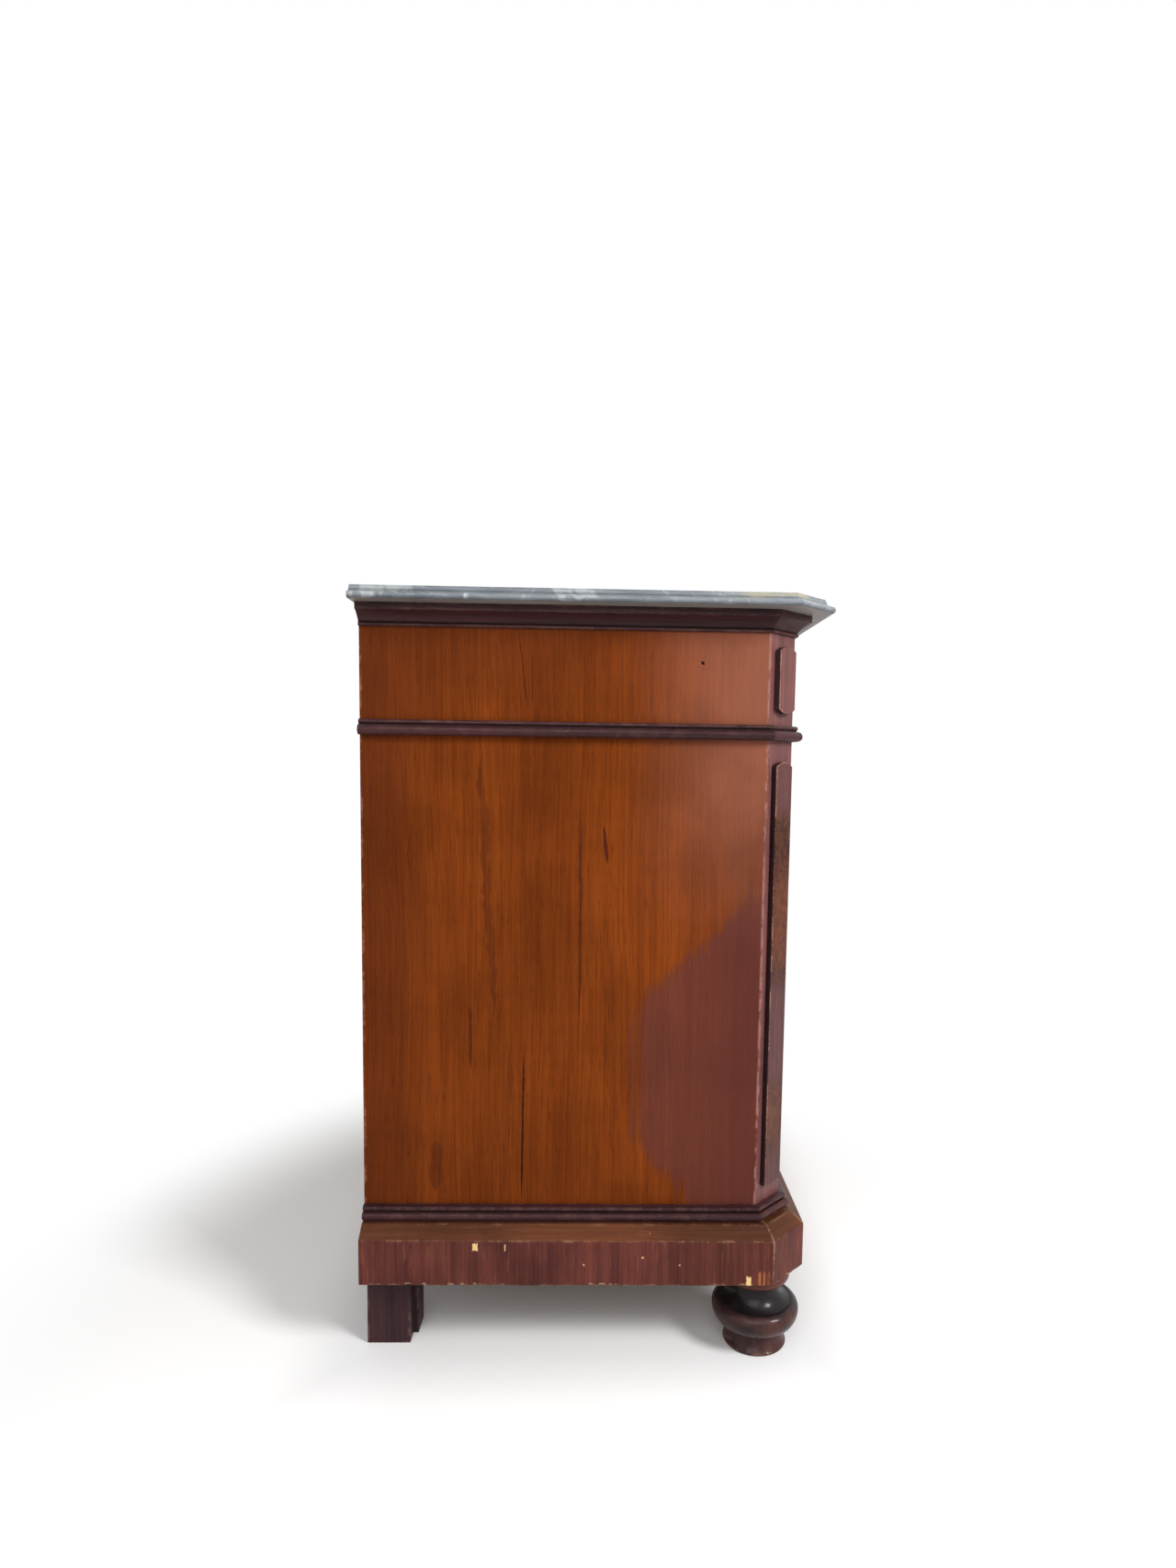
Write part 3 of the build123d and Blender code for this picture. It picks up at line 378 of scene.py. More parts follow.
def round_the_plan(corners, spacing):
    """Stations along a plan, close together at its corners.

    Gives each station's place at no offset, how far it moves for each metre of offset (the mitre vector),
    its distance along the plan, its distance to the nearest inner corner and the number of its run.
    """
    leg = np.diff(corners, axis=0)
    size = np.linalg.norm(leg, axis=1)
    side = np.column_stack([-leg[:, 1], leg[:, 0]]) / size[:, None]
    before, after = np.vstack([side[:1], side]), np.vstack([side, side[-1:]])
    mitre = (before + after) / (1 + (before * after).sum(1, keepdims=True))
    starts = np.cumsum(size) - size
    inner = np.concatenate([starts[1:], [1e9]])
    close = np.array([0, 0.0004, 0.0012, 0.0025, 0.005])
    place, shift, along, run = [], [], [], []
    for number in range(len(leg)):
        total = size[number]
        steps = np.linspace(0, total, max(2, round(total / spacing)) + 1)
        stops = np.unique(np.round(np.concatenate([close, steps, total - close]), 6))
        share = stops[:, None] / stops[-1]
        keep = slice(0, None if number == len(leg) - 1 else -1)
        place.append(((1 - share) * corners[number] + share * corners[number + 1])[keep])
        shift.append(((1 - share) * mitre[number] + share * mitre[number + 1])[keep])
        along.append((starts[number] + stops)[keep])
        run.append(np.full(len(stops), float(number))[keep])
    along = np.concatenate(along)
    corner_gap = np.abs(along[:, None] - inner[None]).min(1)
    return np.vstack(place), np.vstack(shift), along, corner_gap, np.concatenate(run)


def carried(profile, corners, level, spacing, chips=None):
    """A profile carried round a plan: plan place + mitre vector x distance out, at level + height.

    chips(along, profile) may give how far each point is moved in towards the body.
    """
    place, shift, along, corner_gap, run = round_the_plan(corners, spacing)
    out = np.broadcast_to(profile[None, :, 0], (len(along), len(profile)))
    up = np.broadcast_to(profile[None, :, 1], out.shape)
    worn, deep = bends(profile)
    if chips is not None:
        move_out, move_up, bared = chips(along, profile)
        out, up = out + move_out, up + move_up
    flat = place[:, None] + shift[:, None] * out[..., None]
    points = np.concatenate([flat, level + up[..., None]], -1)
    round_it = np.concatenate([[0], np.cumsum(np.linalg.norm(np.diff(profile, axis=0), axis=1))])
    turn = np.exp(-((corner_gap / 0.0016) ** 2))[:, None]
    fields = {
        "worn": np.maximum(worn[None], 0.9 * turn * (1 - deep[None])),
        "deep": np.broadcast_to(deep, out.shape),
        "joint": np.broadcast_to(np.exp(-((corner_gap / 0.0007) ** 2))[:, None], out.shape),
        "grain": np.stack(np.broadcast_arrays(round_it[None], run[:, None] * 3.7 + 1, along[:, None]), -1),
    }
    if chips is not None:
        fields["bared"] = bared
    return Grid(points, fields)


def turned(profile, centre, sides=96):
    """A turning: x = r cos a, y = r sin a round a centre, with r and height from the profile."""
    angle = np.linspace(0, 2 * math.pi, sides, endpoint=False)
    closed = np.vstack([[0, profile[0, 1]], profile, [0, profile[-1, 1]]])
    worn, deep = (values[1:-1] for values in bends(closed, 0.002))
    radius, height = profile[:, :1], profile[:, 1:]
    points = np.stack(
        np.broadcast_arrays(centre[0] + radius * np.cos(angle), centre[1] + radius * np.sin(angle), height), -1
    )
    spread = np.ones((1, sides))
    return Grid(points, {"worn": worn[:, None] * spread, "deep": deep[:, None] * spread})


def faces_of(grid, first):
    """Faces of a grid as one run of vertex numbers and the start of each face, turned outwards.

    They face outwards when the solid's volume, the sum of a . (b x c) / 6 over its triangles, is positive.
    """
    rows, across = grid.points.shape[:2]
    i = np.arange(rows if grid.hoop else rows - 1)[:, None]
    j = np.arange(across)[None]
    here, above = i * across, (i + 1) % rows * across
    quads = np.stack([here + j, here + (j + 1) % across, above + (j + 1) % across, above + j], -1).reshape(-1, 4)
    ends = [] if grid.hoop else [np.arange(across)[::-1], (rows - 1) * across + np.arange(across)]
    flat = grid.points.reshape(-1, 3) - grid.points.reshape(-1, 3).mean(0)
    fans = [np.column_stack([np.full(across - 2, e[0]), e[1:-1], e[2:]]) for e in ends]
    triangles = np.vstack([quads[:, [0, 1, 2]], quads[:, [0, 2, 3]], *fans])
    a, b, c = (flat[triangles[:, k]] for k in range(3))
    if (a * np.cross(b, c)).sum() < 0:
        quads = quads[:, ::-1]
        ends = [e[::-1] for e in ends]
    sizes = np.concatenate([np.full(len(quads), 4), [len(e) for e in ends]]).astype(int)
    return first + np.concatenate([quads.ravel(), *ends]), sizes


def piece(name, grids, body, nodes, materials, sharp=34.0):
    """Makes one mesh of grids, lets it ride on a body and stand for CAD nodes, and gives it materials."""
    points = np.vstack([grid.points.reshape(-1, 3) for grid in grids])
    firsts = np.cumsum([0] + [grid.points.shape[0] * grid.points.shape[1] for grid in grids])
    built = [faces_of(grid, first) for grid, first in zip(grids, firsts)]
    corners = np.concatenate([vertices for vertices, _ in built])
    sizes = np.concatenate([size for _, size in built])
    mesh = bpy.data.meshes.new(name)
    mesh.vertices.add(len(points))
    mesh.vertices.foreach_set("co", points.astype(np.float32).ravel())
    mesh.loops.add(len(corners))
    mesh.loops.foreach_set("vertex_index", corners.astype(np.int32))
    mesh.polygons.add(len(sizes))
    mesh.polygons.foreach_set("loop_start", (np.cumsum(sizes) - sizes).astype(np.int32))
    chosen = np.concatenate([np.full(len(size), grid.material) for grid, (_, size) in zip(grids, built)])
    mesh.polygons.foreach_set("material_index", chosen.astype(np.int32))
    mesh.polygons.foreach_set("use_smooth", np.ones(len(sizes), bool))
    mesh.update(calc_edges=True)
    mesh.set_sharp_from_angle(angle=math.radians(sharp))
    for label in sorted({key for grid in grids for key in grid.fields}):
        wide = 3 if label == "grain" else 1
        values = [grid.fields.get(label, np.zeros(grid.points.shape[:2] + (wide,))) for grid in grids]
        flat = np.vstack([np.reshape(v, (-1, wide)) for v in values]).astype(np.float32).ravel()
        kind, key = ("FLOAT_VECTOR", "vector") if wide == 3 else ("FLOAT", "value")
        mesh.attributes.new(label, kind, "POINT").data.foreach_set(key, flat)
    for material in materials:
        mesh.materials.append(material)
    obj = bpy.data.objects.new(name, mesh)
    bpy.context.scene.collection.objects.link(obj)
    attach(obj, body)
    if nodes:
        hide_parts(*nodes)
    return obj


def dress(node, material):
    """Gives a CAD node that stays its finish."""
    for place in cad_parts[node].material_slots:
        place.material = material


# ---- Shader nodes -------------------------------------------------------------------------------


class Nodes:
    """Adds nodes to a material or a group. A value may be a number, a colour or another node's output."""

    def __init__(self, tree):
        self.tree = tree

    def add(self, kind, inputs=(), **settings):
        """One node with its settings and inputs."""
        node = self.tree.nodes.new("ShaderNode" + kind)
        for name, value in settings.items():
            setattr(node, name, value)
        for key, value in dict(inputs).items():
            if isinstance(value, bpy.types.NodeSocket):
                self.tree.links.new(value, node.inputs[key])
            else:
                node.inputs[key].default_value = value
        return node

    def math(self, operation, *values, clamp=False):
        """A sum or other operation on numbers."""
        return self.add("Math", enumerate(values), operation=operation, use_clamp=clamp).outputs[0]

    def scaled(self, vector, x, y, z):
        """A vector with each part multiplied by its own number."""
        return self.add("VectorMath", {0: vector, 1: (x, y, z)}, operation="MULTIPLY").outputs[0]

    def noise(self, vector, scale=1.0, detail=2.0, roughness=0.5, distortion=0.0):
        """Smooth noise between 0 and 1."""
        inputs = {"Vector": vector, "Scale": scale, "Detail": detail, "Roughness": roughness}
        return self.add("TexNoise", {**inputs, "Distortion": distortion}).outputs[0]

    def rise(self, value, low, high, bottom=0.0, top=1.0):
        """Eases from bottom to top as a value goes from low to high."""
        inputs = {0: value, 1: low, 2: high, 3: bottom, 4: top}
        return self.add("MapRange", inputs, interpolation_type="SMOOTHSTEP").outputs[0]

    def mix(self, amount, first, second, blend="MIX"):
        """A mix of two colours."""
        first, second = ((*v, 1.0) if isinstance(v, tuple) and len(v) == 3 else v for v in (first, second))
        inputs = {0: amount, 6: first, 7: second}
        return self.add("Mix", inputs, data_type="RGBA", blend_type=blend, clamp_result=True).outputs[2]

    def grey(self, value):
        """A number as a grey colour."""
        return self.add("CombineColor", {0: value, 1: value, 2: value}).outputs[0]

    def times(self, *values, **options):
        """The product of two numbers."""
        return self.math("MULTIPLY", *values, **options)

    def plus(self, *values, **options):
        """The sum of two numbers."""
        return self.math("ADD", *values, **options)

    def minus(self, *values, **options):
        """The first number less the second."""
        return self.math("SUBTRACT", *values, **options)

    def most(self, *values, **options):
        """The greater of two numbers."""
        return self.math("MAXIMUM", *values, **options)

    def size(self, *values, **options):
        """A number without its sign."""
        return self.math("ABSOLUTE", *values, **options)

    def tint(self, base, colour, mask, share):
        """A colour laid over a base, as strongly as a mask times a share says."""
        return self.mix(self.times(mask, share), base, colour)

    def shade(self, base, value):
        """A base multiplied by a number."""
        return self.mix(1.0, base, self.grey(value), "MULTIPLY")

    def give(self, result, **values):
        """Joins values to a group's outputs."""
        for name, value in values.items():
            self.tree.links.new(value, result[name])

    def veneer(self, vector, wood, tone, bend, streaks, bands, pores):
        """Wood figure in a light and a dark colour of the settings."""
        return self.group(
            effect("veneer"), Vector=vector, Light=look(wood, f"{tone}_light"), Dark=look(wood, f"{tone}_dark"),
            Bend=bend, Streaks=streaks, Bands=bands, Pores=pores,
        )

    def wear_and_painted_light(self, vector, amount, deep=None):
        """Rubbed edges, which also paint a highlight, and dirt, which also paints shade in the hollows, from the worn
        and deep attributes.
        """
        worn = self.read("worn")
        deep = self.read("deep") if deep is None else deep
        return self.group(effect("wear_and_painted_light"), Vector=vector, Worn=worn, Deep=deep, Amount=amount)

    def polish(self, vector, gloss, dull):
        """Roughness and blotches of old polish."""
        return self.group(effect("polish"), Vector=vector, Gloss=gloss, Dull=dull)

    def specks(self, vector, scale, size, share):
        """A mask of scattered specks."""
        return self.group(effect("specks"), Vector=vector, Scale=scale, Size=size, Share=share)["Mask"]

    def chip(self, across, along, middle_across, middle_along, half_across, half_along):
        """A mask of one chip."""
        return self.group(
            effect("chip"), Across=across, Along=along, Middle_across=middle_across, Middle_along=middle_along,
            Half_across=half_across, Half_along=half_along,
        )["Mask"]

    def mark(self, across, along, centre, slant, low, high, width, waver):
        """A mask of one crack, streak or scratch."""
        return self.group(
            effect("mark"), Across=across, Along=along, Centre=centre, Slant=slant, Low=low, High=high,
            Width=width, Waver=waver,
        )["Mask"]

    def group(self, tree, **inputs):
        """A shared effect with its own values. Underscores in the names stand for spaces."""
        node = self.tree.nodes.new("ShaderNodeGroup")
        node.node_tree = tree
        for key, value in inputs.items():
            target = node.inputs[key.replace("_", " ")]
            if isinstance(value, bpy.types.NodeSocket):
                self.tree.links.new(value, target)
            elif isinstance(value, tuple) and target.type == "RGBA" and len(value) == 3:
                target.default_value = (*value, 1.0)
            else:
                target.default_value = value
        return node.outputs

    def place(self):
        """Object coordinates as a vector and its three parts."""
        vector = self.add("TexCoord").outputs["Object"]
        parts = self.add("SeparateXYZ", {0: vector}).outputs
        return vector, parts[0], parts[1], parts[2]

    def read(self, name, output="Fac"):
        """An attribute of the mesh."""
        return self.add("Attribute", attribute_name=name).outputs[output]


def shared(name, inputs, outputs):
    """A new node group with named inputs and outputs, and what its inputs carry."""
    tree = bpy.data.node_groups.new(name, "ShaderNodeTree")
    for label, kind, default in inputs:
        socket = tree.interface.new_socket(label, in_out="INPUT", socket_type="NodeSocket" + kind)
        socket.default_value = default
    for label, kind in outputs:
        tree.interface.new_socket(label, in_out="OUTPUT", socket_type="NodeSocket" + kind)
    nodes = Nodes(tree)
    given = tree.nodes.new("NodeGroupInput").outputs
    result = tree.nodes.new("NodeGroupOutput")
    return tree, nodes, given, result.inputs


def veneer_group():
    """Wood figure drawn out along the vector's Z: broad streaks, bands, fine lines and short pores."""
    grey = (0.5, 0.5, 0.5, 1.0)
    tree, n, given, result = shared(
        "veneer_figure",
        [("Vector", "Vector", (0, 0, 0)), ("Light", "Color", grey), ("Dark", "Color", grey),
         ("Bend", "Float", 0.03), ("Streaks", "Float", 1.5), ("Bands", "Float", 0.9), ("Pores", "Float", 0.5)],
        [("Color", "Color"), ("Height", "Float"), ("Tone", "Float")],
    )
    vector = given["Vector"]
    sway = n.times(n.minus(n.noise(n.scaled(vector, 6, 6, 1.4), detail=3), 0.5), given["Bend"])
    shift = n.add("CombineXYZ", {0: sway, 1: sway, 2: 0.0}).outputs[0]
    bent = n.add("VectorMath", {0: vector, 1: shift}, operation="ADD").outputs[0]
    broad = n.minus(n.noise(n.scaled(bent, 17, 17, 1.0), detail=3), 0.5)
    band = n.minus(n.noise(n.scaled(bent, 85, 85, 2.6), detail=4, roughness=0.6), 0.5)
    line = n.noise(n.scaled(bent, 330, 330, 6), detail=3, roughness=0.65)
    pore = n.rise(n.noise(n.scaled(vector, 1500, 1500, 42), detail=1), 0.60, 0.72)
    tone = n.plus(n.times(broad, given["Streaks"]), n.times(band, given["Bands"]))
    tone = n.plus(tone, 0.5, clamp=True)
    fleck = n.rise(line, 0.32, 0.66, 0.82, 1.12)
    dotted = n.minus(1.0, n.times(pore, given["Pores"]))
    plain = n.mix(tone, given["Dark"], given["Light"])
    shaded = n.shade(plain, n.times(fleck, dotted))
    height = n.minus(n.times(line, 0.35), pore)
    n.give(result, Color=shaded, Height=height, Tone=tone)
    return tree


def burl_group():
    """Burl figure: whorls and eyes, from noise that is bent by other noise and then folded into rings."""
    grey = (0.5, 0.5, 0.5, 1.0)
    tree, n, given, result = shared(
        "burl_figure",
        [("Vector", "Vector", (0, 0, 0)), ("Light", "Color", grey), ("Dark", "Color", grey)],
        [("Color", "Color"), ("Height", "Float")],
    )
    whorl = n.noise(given["Vector"], 34, 5, 0.6, 1.6)
    rings = n.math("SINE", n.times(whorl, 30.0))
    eye = n.rise(n.noise(given["Vector"], 120, 3, 0.6, 0.8), 0.60, 0.70)
    cloud = n.noise(given["Vector"], 14, 3)
    tone = n.plus(n.times(rings, 0.22), n.rise(cloud, 0.35, 0.65, 0.25, 0.8))
    tone = n.minus(tone, n.times(eye, 0.5), clamp=True)
    n.give(result, Color=n.mix(tone, given["Dark"], given["Light"]), Height=n.times(rings, 0.3))
    return tree


def wear_and_painted_light_group():
    """Rubbed edges and a painted highlight on them: the edge value plus noise, cut off softly. Also dirt and painted
    shade in the hollows.
    """
    tree, n, given, result = shared(
        "edge_wear_and_painted_light",
        [("Vector", "Vector", (0, 0, 0)), ("Worn", "Float", 0.0), ("Deep", "Float", 0.0), ("Amount", "Float", 0.5)],
        [("Rubbed", "Float"), ("Dirt", "Float")],
    )
    patch = n.noise(given["Vector"], 45, 4, 0.65)
    fine = n.noise(given["Vector"], 420, 2)
    rough = n.plus(n.times(patch, 1.1), n.times(fine, 0.35))
    edge = n.times(given["Worn"], n.rise(rough, 0.55, 0.95))
    # Paler rubbed edges, also a painted highlight along them
    rubbed_and_highlight = n.times(n.rise(edge, 0.15, 0.75), given["Amount"])
    # Dirt in the hollows, also painted shade there
    dirt_and_shade = n.times(n.rise(given["Deep"], 0.1, 0.7), n.rise(patch, 0.25, 0.6, 0.6, 1.0))
    n.give(result, Rubbed=rubbed_and_highlight, Dirt=dirt_and_shade)
    return tree


def mark_group():
    """A crack, streak or scratch: near a wavering line across = centre, between two places along it."""
    tree, n, given, result = shared(
        "line_mark",
        [("Across", "Float", 0.0), ("Along", "Float", 0.0), ("Centre", "Float", 0.0), ("Slant", "Float", 0.0),
         ("Low", "Float", 0.0), ("High", "Float", 1.0), ("Width", "Float", 0.001), ("Waver", "Float", 0.001)],
        [("Mask", "Float")],
    )
    along = n.add("CombineXYZ", {0: given["Centre"], 1: 0.0, 2: given["Along"]}).outputs[0]
    waver = n.times(n.minus(n.noise(along, 26, 4), 0.5), given["Waver"])
    lean = n.times(n.minus(given["Along"], given["Low"]), given["Slant"])
    line = n.plus(n.plus(given["Centre"], waver), lean)
    gap = n.size(n.minus(given["Across"], line))
    middle = n.times(n.plus(given["Low"], given["High"]), 0.5)
    half = n.times(n.minus(given["High"], given["Low"]), 0.5)
    share = n.math("DIVIDE", n.size(n.minus(given["Along"], middle)), half)
    taper = n.rise(share, 1.0, 0.55)
    width = n.times(n.times(given["Width"], taper), n.noise(along, 90, 2))
    near = n.rise(n.math("DIVIDE", gap, n.most(width, 1e-6)), 1.4, 0.6)
    n.give(result, Mask=n.times(near, n.rise(taper, 0.0, 0.05)))
    return tree


def chip_group():
    """A chip: an oblong with a ragged edge, streaked along the grain."""
    tree, n, given, result = shared(
        "chip_mark",
        [("Across", "Float", 0.0), ("Along", "Float", 0.0), ("Middle across", "Float", 0.0),
         ("Middle along", "Float", 0.0), ("Half across", "Float", 0.003), ("Half along", "Float", 0.005)],
        [("Mask", "Float")],
    )
    place = n.add("CombineXYZ", {0: given["Across"], 1: 0.0, 2: given["Along"]}).outputs[0]
    ragged = n.times(n.minus(n.noise(n.scaled(place, 520, 520, 160), detail=3), 0.5), 1.5)
    a = n.math("DIVIDE", n.minus(given["Across"], given["Middle across"]), given["Half across"])
    b = n.math("DIVIDE", n.minus(given["Along"], given["Middle along"]), given["Half along"])
    gap = n.most(n.size(a), n.size(b))
    n.give(result, Mask=n.rise(n.plus(gap, ragged), 1.1, 0.8))
    return tree


def speck_group():
    """Scattered specks: small spots round the points of a cell pattern, in a share of its cells."""
    tree, n, given, result = shared(
        "specks",
        [("Vector", "Vector", (0, 0, 0)), ("Scale", "Float", 60.0), ("Size", "Float", 0.12), ("Share", "Float", 0.2)],
        [("Mask", "Float")],
    )
    cells = n.add("TexVoronoi", {"Vector": given["Vector"], "Scale": given["Scale"]})
    pick = n.add("SeparateColor", {0: cells.outputs["Color"]}).outputs
    size = n.times(given["Size"], pick[1])
    spot = n.rise(n.math("DIVIDE", cells.outputs["Distance"], n.most(size, 0.001)), 1.1, 0.7)
    n.give(result, Mask=n.times(spot, n.math("LESS_THAN", pick[0], given["Share"])))
    return tree


def polish_group():
    """Old polish: cloudy gloss and fine rubbing, as a roughness and a blotch value."""
    tree, n, given, result = shared(
        "old_polish",
        [("Vector", "Vector", (0, 0, 0)), ("Gloss", "Float", 0.3), ("Dull", "Float", 0.5)],
        [("Roughness", "Float"), ("Blotch", "Float")],
    )
    cloud = n.noise(given["Vector"], 7, 4, 0.55)
    smear = n.noise(n.scaled(given["Vector"], 90, 90, 22), detail=3)
    share = n.rise(n.plus(n.times(cloud, 0.7), n.times(smear, 0.3)), 0.3, 0.7)
    span = n.minus(given["Dull"], given["Gloss"])
    rough = n.plus(given["Gloss"], n.times(share, span))
    n.give(result, Roughness=rough, Blotch=cloud)
    return tree


EFFECTS = {
    "veneer": veneer_group,
    "burl": burl_group,
    "wear_and_painted_light": wear_and_painted_light_group,
    "mark": mark_group,
    "chip": chip_group,
    "specks": speck_group,
    "polish": polish_group,
}
effects = {}


def effect(name):
    """A shared node group, built the first time it is asked for."""
    if name not in effects:
        effects[name] = EFFECTS[name]()
    return effects[name]


def start_finish(name):
    """An empty material and its node writer."""
    material = bpy.data.materials.new(name)
    material.use_nodes = True
    material.node_tree.nodes.clear()
    return material, Nodes(material.node_tree)


def end_finish(n, base, roughness, height=None, bump=0.0002, metallic=0.0, specular=0.5, coat=0.0, coat_rough=0.1):
    """The surface shader: colour, roughness and a bump whose height is in metres."""
    shader = n.add("BsdfPrincipled")
    shader.inputs["Metallic"].default_value = metallic
    shader.inputs["Specular IOR Level"].default_value = specular
    shader.inputs["Coat Weight"].default_value = coat
    shader.inputs["Coat Roughness"].default_value = coat_rough
    n.tree.links.new(base, shader.inputs["Base Color"])
    n.tree.links.new(roughness, shader.inputs["Roughness"])
    if height is not None:
        normal = n.add("Bump", {"Height": height, "Strength": 1.0, "Distance": bump}).outputs[0]
        n.tree.links.new(normal, shader.inputs["Normal"])
        if coat:
            n.tree.links.new(normal, shader.inputs["Coat Normal"])
    n.tree.links.new(shader.outputs[0], n.add("OutputMaterial").inputs["Surface"])


def look(settings, name):
    """A colour of the settings as a plain tuple."""
    return tuple(getattr(settings, name))


finishes = {}


def finish(name, *settings):
    """A material, built the first time it is asked for."""
    if name not in finishes:
        finishes[name] = FINISHES[name](*settings)
    return finishes[name]


def side_finish(wood):
    """Walnut side boards, grain upright: darker edges, and on one side a stain, cracks and scratches."""
    material, n = start_finish("side_walnut")
    vector, x, y, z = n.place()
    z = n.minus(z, FOOT_TOP - MARKS_LEVEL)
    figure = n.veneer(vector, wood, "side", 0.035, 1.05, 0.60, 0.45)
    polish = n.polish(vector, 0.30, 0.46)
    drift = n.times(n.minus(n.noise(n.scaled(vector, 9, 9, 4), detail=4), 0.5), 0.12)
    from_middle = n.size(n.minus(n.plus(y, drift), 0.035))
    edge = n.most(n.rise(from_middle, 0.13, 0.30), n.rise(n.plus(z, drift), 0.83, 0.99, 0.0, 0.5))
    base = n.tint(figure["Color"], look(wood, "side_edge"), edge, 0.62)
    # Bloom in the polish high up near the front, which also paints a sheen there
    bloom_and_sheen = n.times(n.rise(y, -0.02, -0.20), n.rise(n.plus(z, drift), 0.50, 0.80))
    base = n.tint(base, look(wood, "bloom_and_sheen"), bloom_and_sheen, 0.42)
    shade = n.rise(polish["Blotch"], 0.35, 0.65, 0.86, 1.10)
    base = n.shade(base, shade)
    left = n.math("LESS_THAN", x, 0.0)

    # The stain lies in front of a border that swings forward above and below
    upper = n.rise(z, 0.44, 0.66, 0.0, -0.170)
    lower = n.rise(z, 0.31, 0.19, 0.0, -0.075)
    border = n.plus(n.plus(upper, lower), -0.052)
    frayed = n.times(n.minus(n.noise(n.scaled(vector, 110, 110, 4), detail=3), 0.5), 0.075)
    inside = n.rise(n.minus(n.plus(border, frayed), y), -0.012, 0.020)
    stain = n.times(n.times(inside, left), n.rise(z, 0.74, 0.56))
    base = n.mix(n.times(stain, 0.95), base, (0.62, 0.74, 1.0), "MULTIPLY")
    base = n.tint(base, look(wood, "stain"), stain, 0.42)

    # Six dark streaks in the wood, then cracks and scratches: centre, slant, low, high, width, waver, strength
    streak_count = 6
    lines = (
        (0.128, 0.060, 0.44, 0.815, 0.010, 0.020, 0.38),
        (0.116, -0.04, 0.20, 0.42, 0.007, 0.016, 0.22),
        (0.0185, 0.004, 0.45, 0.76, 0.0055, 0.010, 0.30),
        (-0.030, 0.03, 0.22, 0.62, 0.008, 0.016, 0.16),
        (0.1605, 0.0, 0.380, 0.475, 0.0042, 0.002, 0.62),
        (0.2050, 0.02, 0.215, 0.290, 0.016, 0.012, 0.35),
        (0.0930, -0.012, 0.198, 0.42, 0.0024, 0.0012, 1.0),
        (0.0186, 0.002, 0.440, 0.72, 0.0014, 0.0030, 0.85),
        (-0.0160, 0.10, 0.655, 0.709, 0.0030, 0.0016, 0.80),
        (-0.0125, 0.05, 0.668, 0.700, 0.0016, 0.0010, 0.70),
        (0.0880, 0.12, 0.852, 0.950, 0.0012, 0.0030, 0.70),
        (0.0820, 0.02, 0.860, 0.930, 0.0010, 0.0030, 0.45),
        (0.2400, 0.00, 0.640, 0.700, 0.0012, 0.0200, 0.35),
    )
    dark, cut = 0.0, 0.0
    for number, (*line, strength) in enumerate(lines):
        mask = n.mark(y, z, *line)
        dark = n.most(dark, n.times(mask, strength))
        if number >= streak_count:
            cut = n.most(cut, n.times(mask, strength))
    dark, cut = n.times(dark, left), n.times(cut, left)
    base = n.tint(base, (0.022, 0.006, 0.006), dark, 0.9)
    hole = n.chip(y, z, -0.134, 0.916, 0.0022, 0.0022)
    base = n.tint(base, (0.012, 0.005, 0.004), hole, left)
    pale = n.specks(vector, 26.0, 0.055, 0.10)
    base = n.tint(base, (0.50, 0.30, 0.18), pale, 0.55)
    dents = n.specks(vector, 41.0, 0.050, 0.12)
    base = n.tint(base, (0.03, 0.010, 0.008), dents, 0.6)
    wear_and_painted_light = n.wear_and_painted_light(vector, 0.55, deep=0.0)
    # Paler rubbed edges in the colour of the bloom, also a painted highlight on them
    base = n.mix(wear_and_painted_light["Rubbed"], base, look(wood, "bloom_and_sheen"))
    arris = FRONT_Y + CORNER_CUT
    broken = n.rise(n.noise(vector, 60, 4), 0.38, 0.56)
    rubbed_arris = n.times(n.rise(y, arris + 0.0042, arris + 0.0008), broken)
    base = n.tint(base, (0.38, 0.19, 0.17), rubbed_arris, 0.75)
    height = n.minus(n.times(figure["Height"], 0.35), n.times(cut, 3.0))
    height = n.minus(height, n.times(dents, 1.0))
    end_finish(n, base, polish["Roughness"], height, 0.00022, specular=0.025)
    return material


def corner_finish(wood):
    """Pinkish walnut on the cut corners, tablets and the plain parts of the pilasters."""
    material, n = start_finish("corner_walnut")
    vector = n.place()[0]
    figure = n.veneer(vector, wood, "corner", 0.02, 1.2, 1.2, 0.45)
    polish = n.polish(vector, 0.28, 0.45)
    wear_and_painted_light = n.wear_and_painted_light(vector, 0.7)
    # Paler rubbed edges, also a painted highlight on them
    base = n.mix(wear_and_painted_light["Rubbed"], figure["Color"], (0.34, 0.17, 0.13))
    # Painted shade: the side walls of the tablets are made near black
    base = n.tint(base, (0.016, 0.005, 0.008), n.read("wall"), 0.85)
    specks = n.specks(vector, 55.0, 0.08, 0.15)
    base = n.tint(base, (0.04, 0.016, 0.012), specks, 0.5)
    end_finish(n, base, polish["Roughness"], figure["Height"], 0.00012, specular=0.2)
    return material


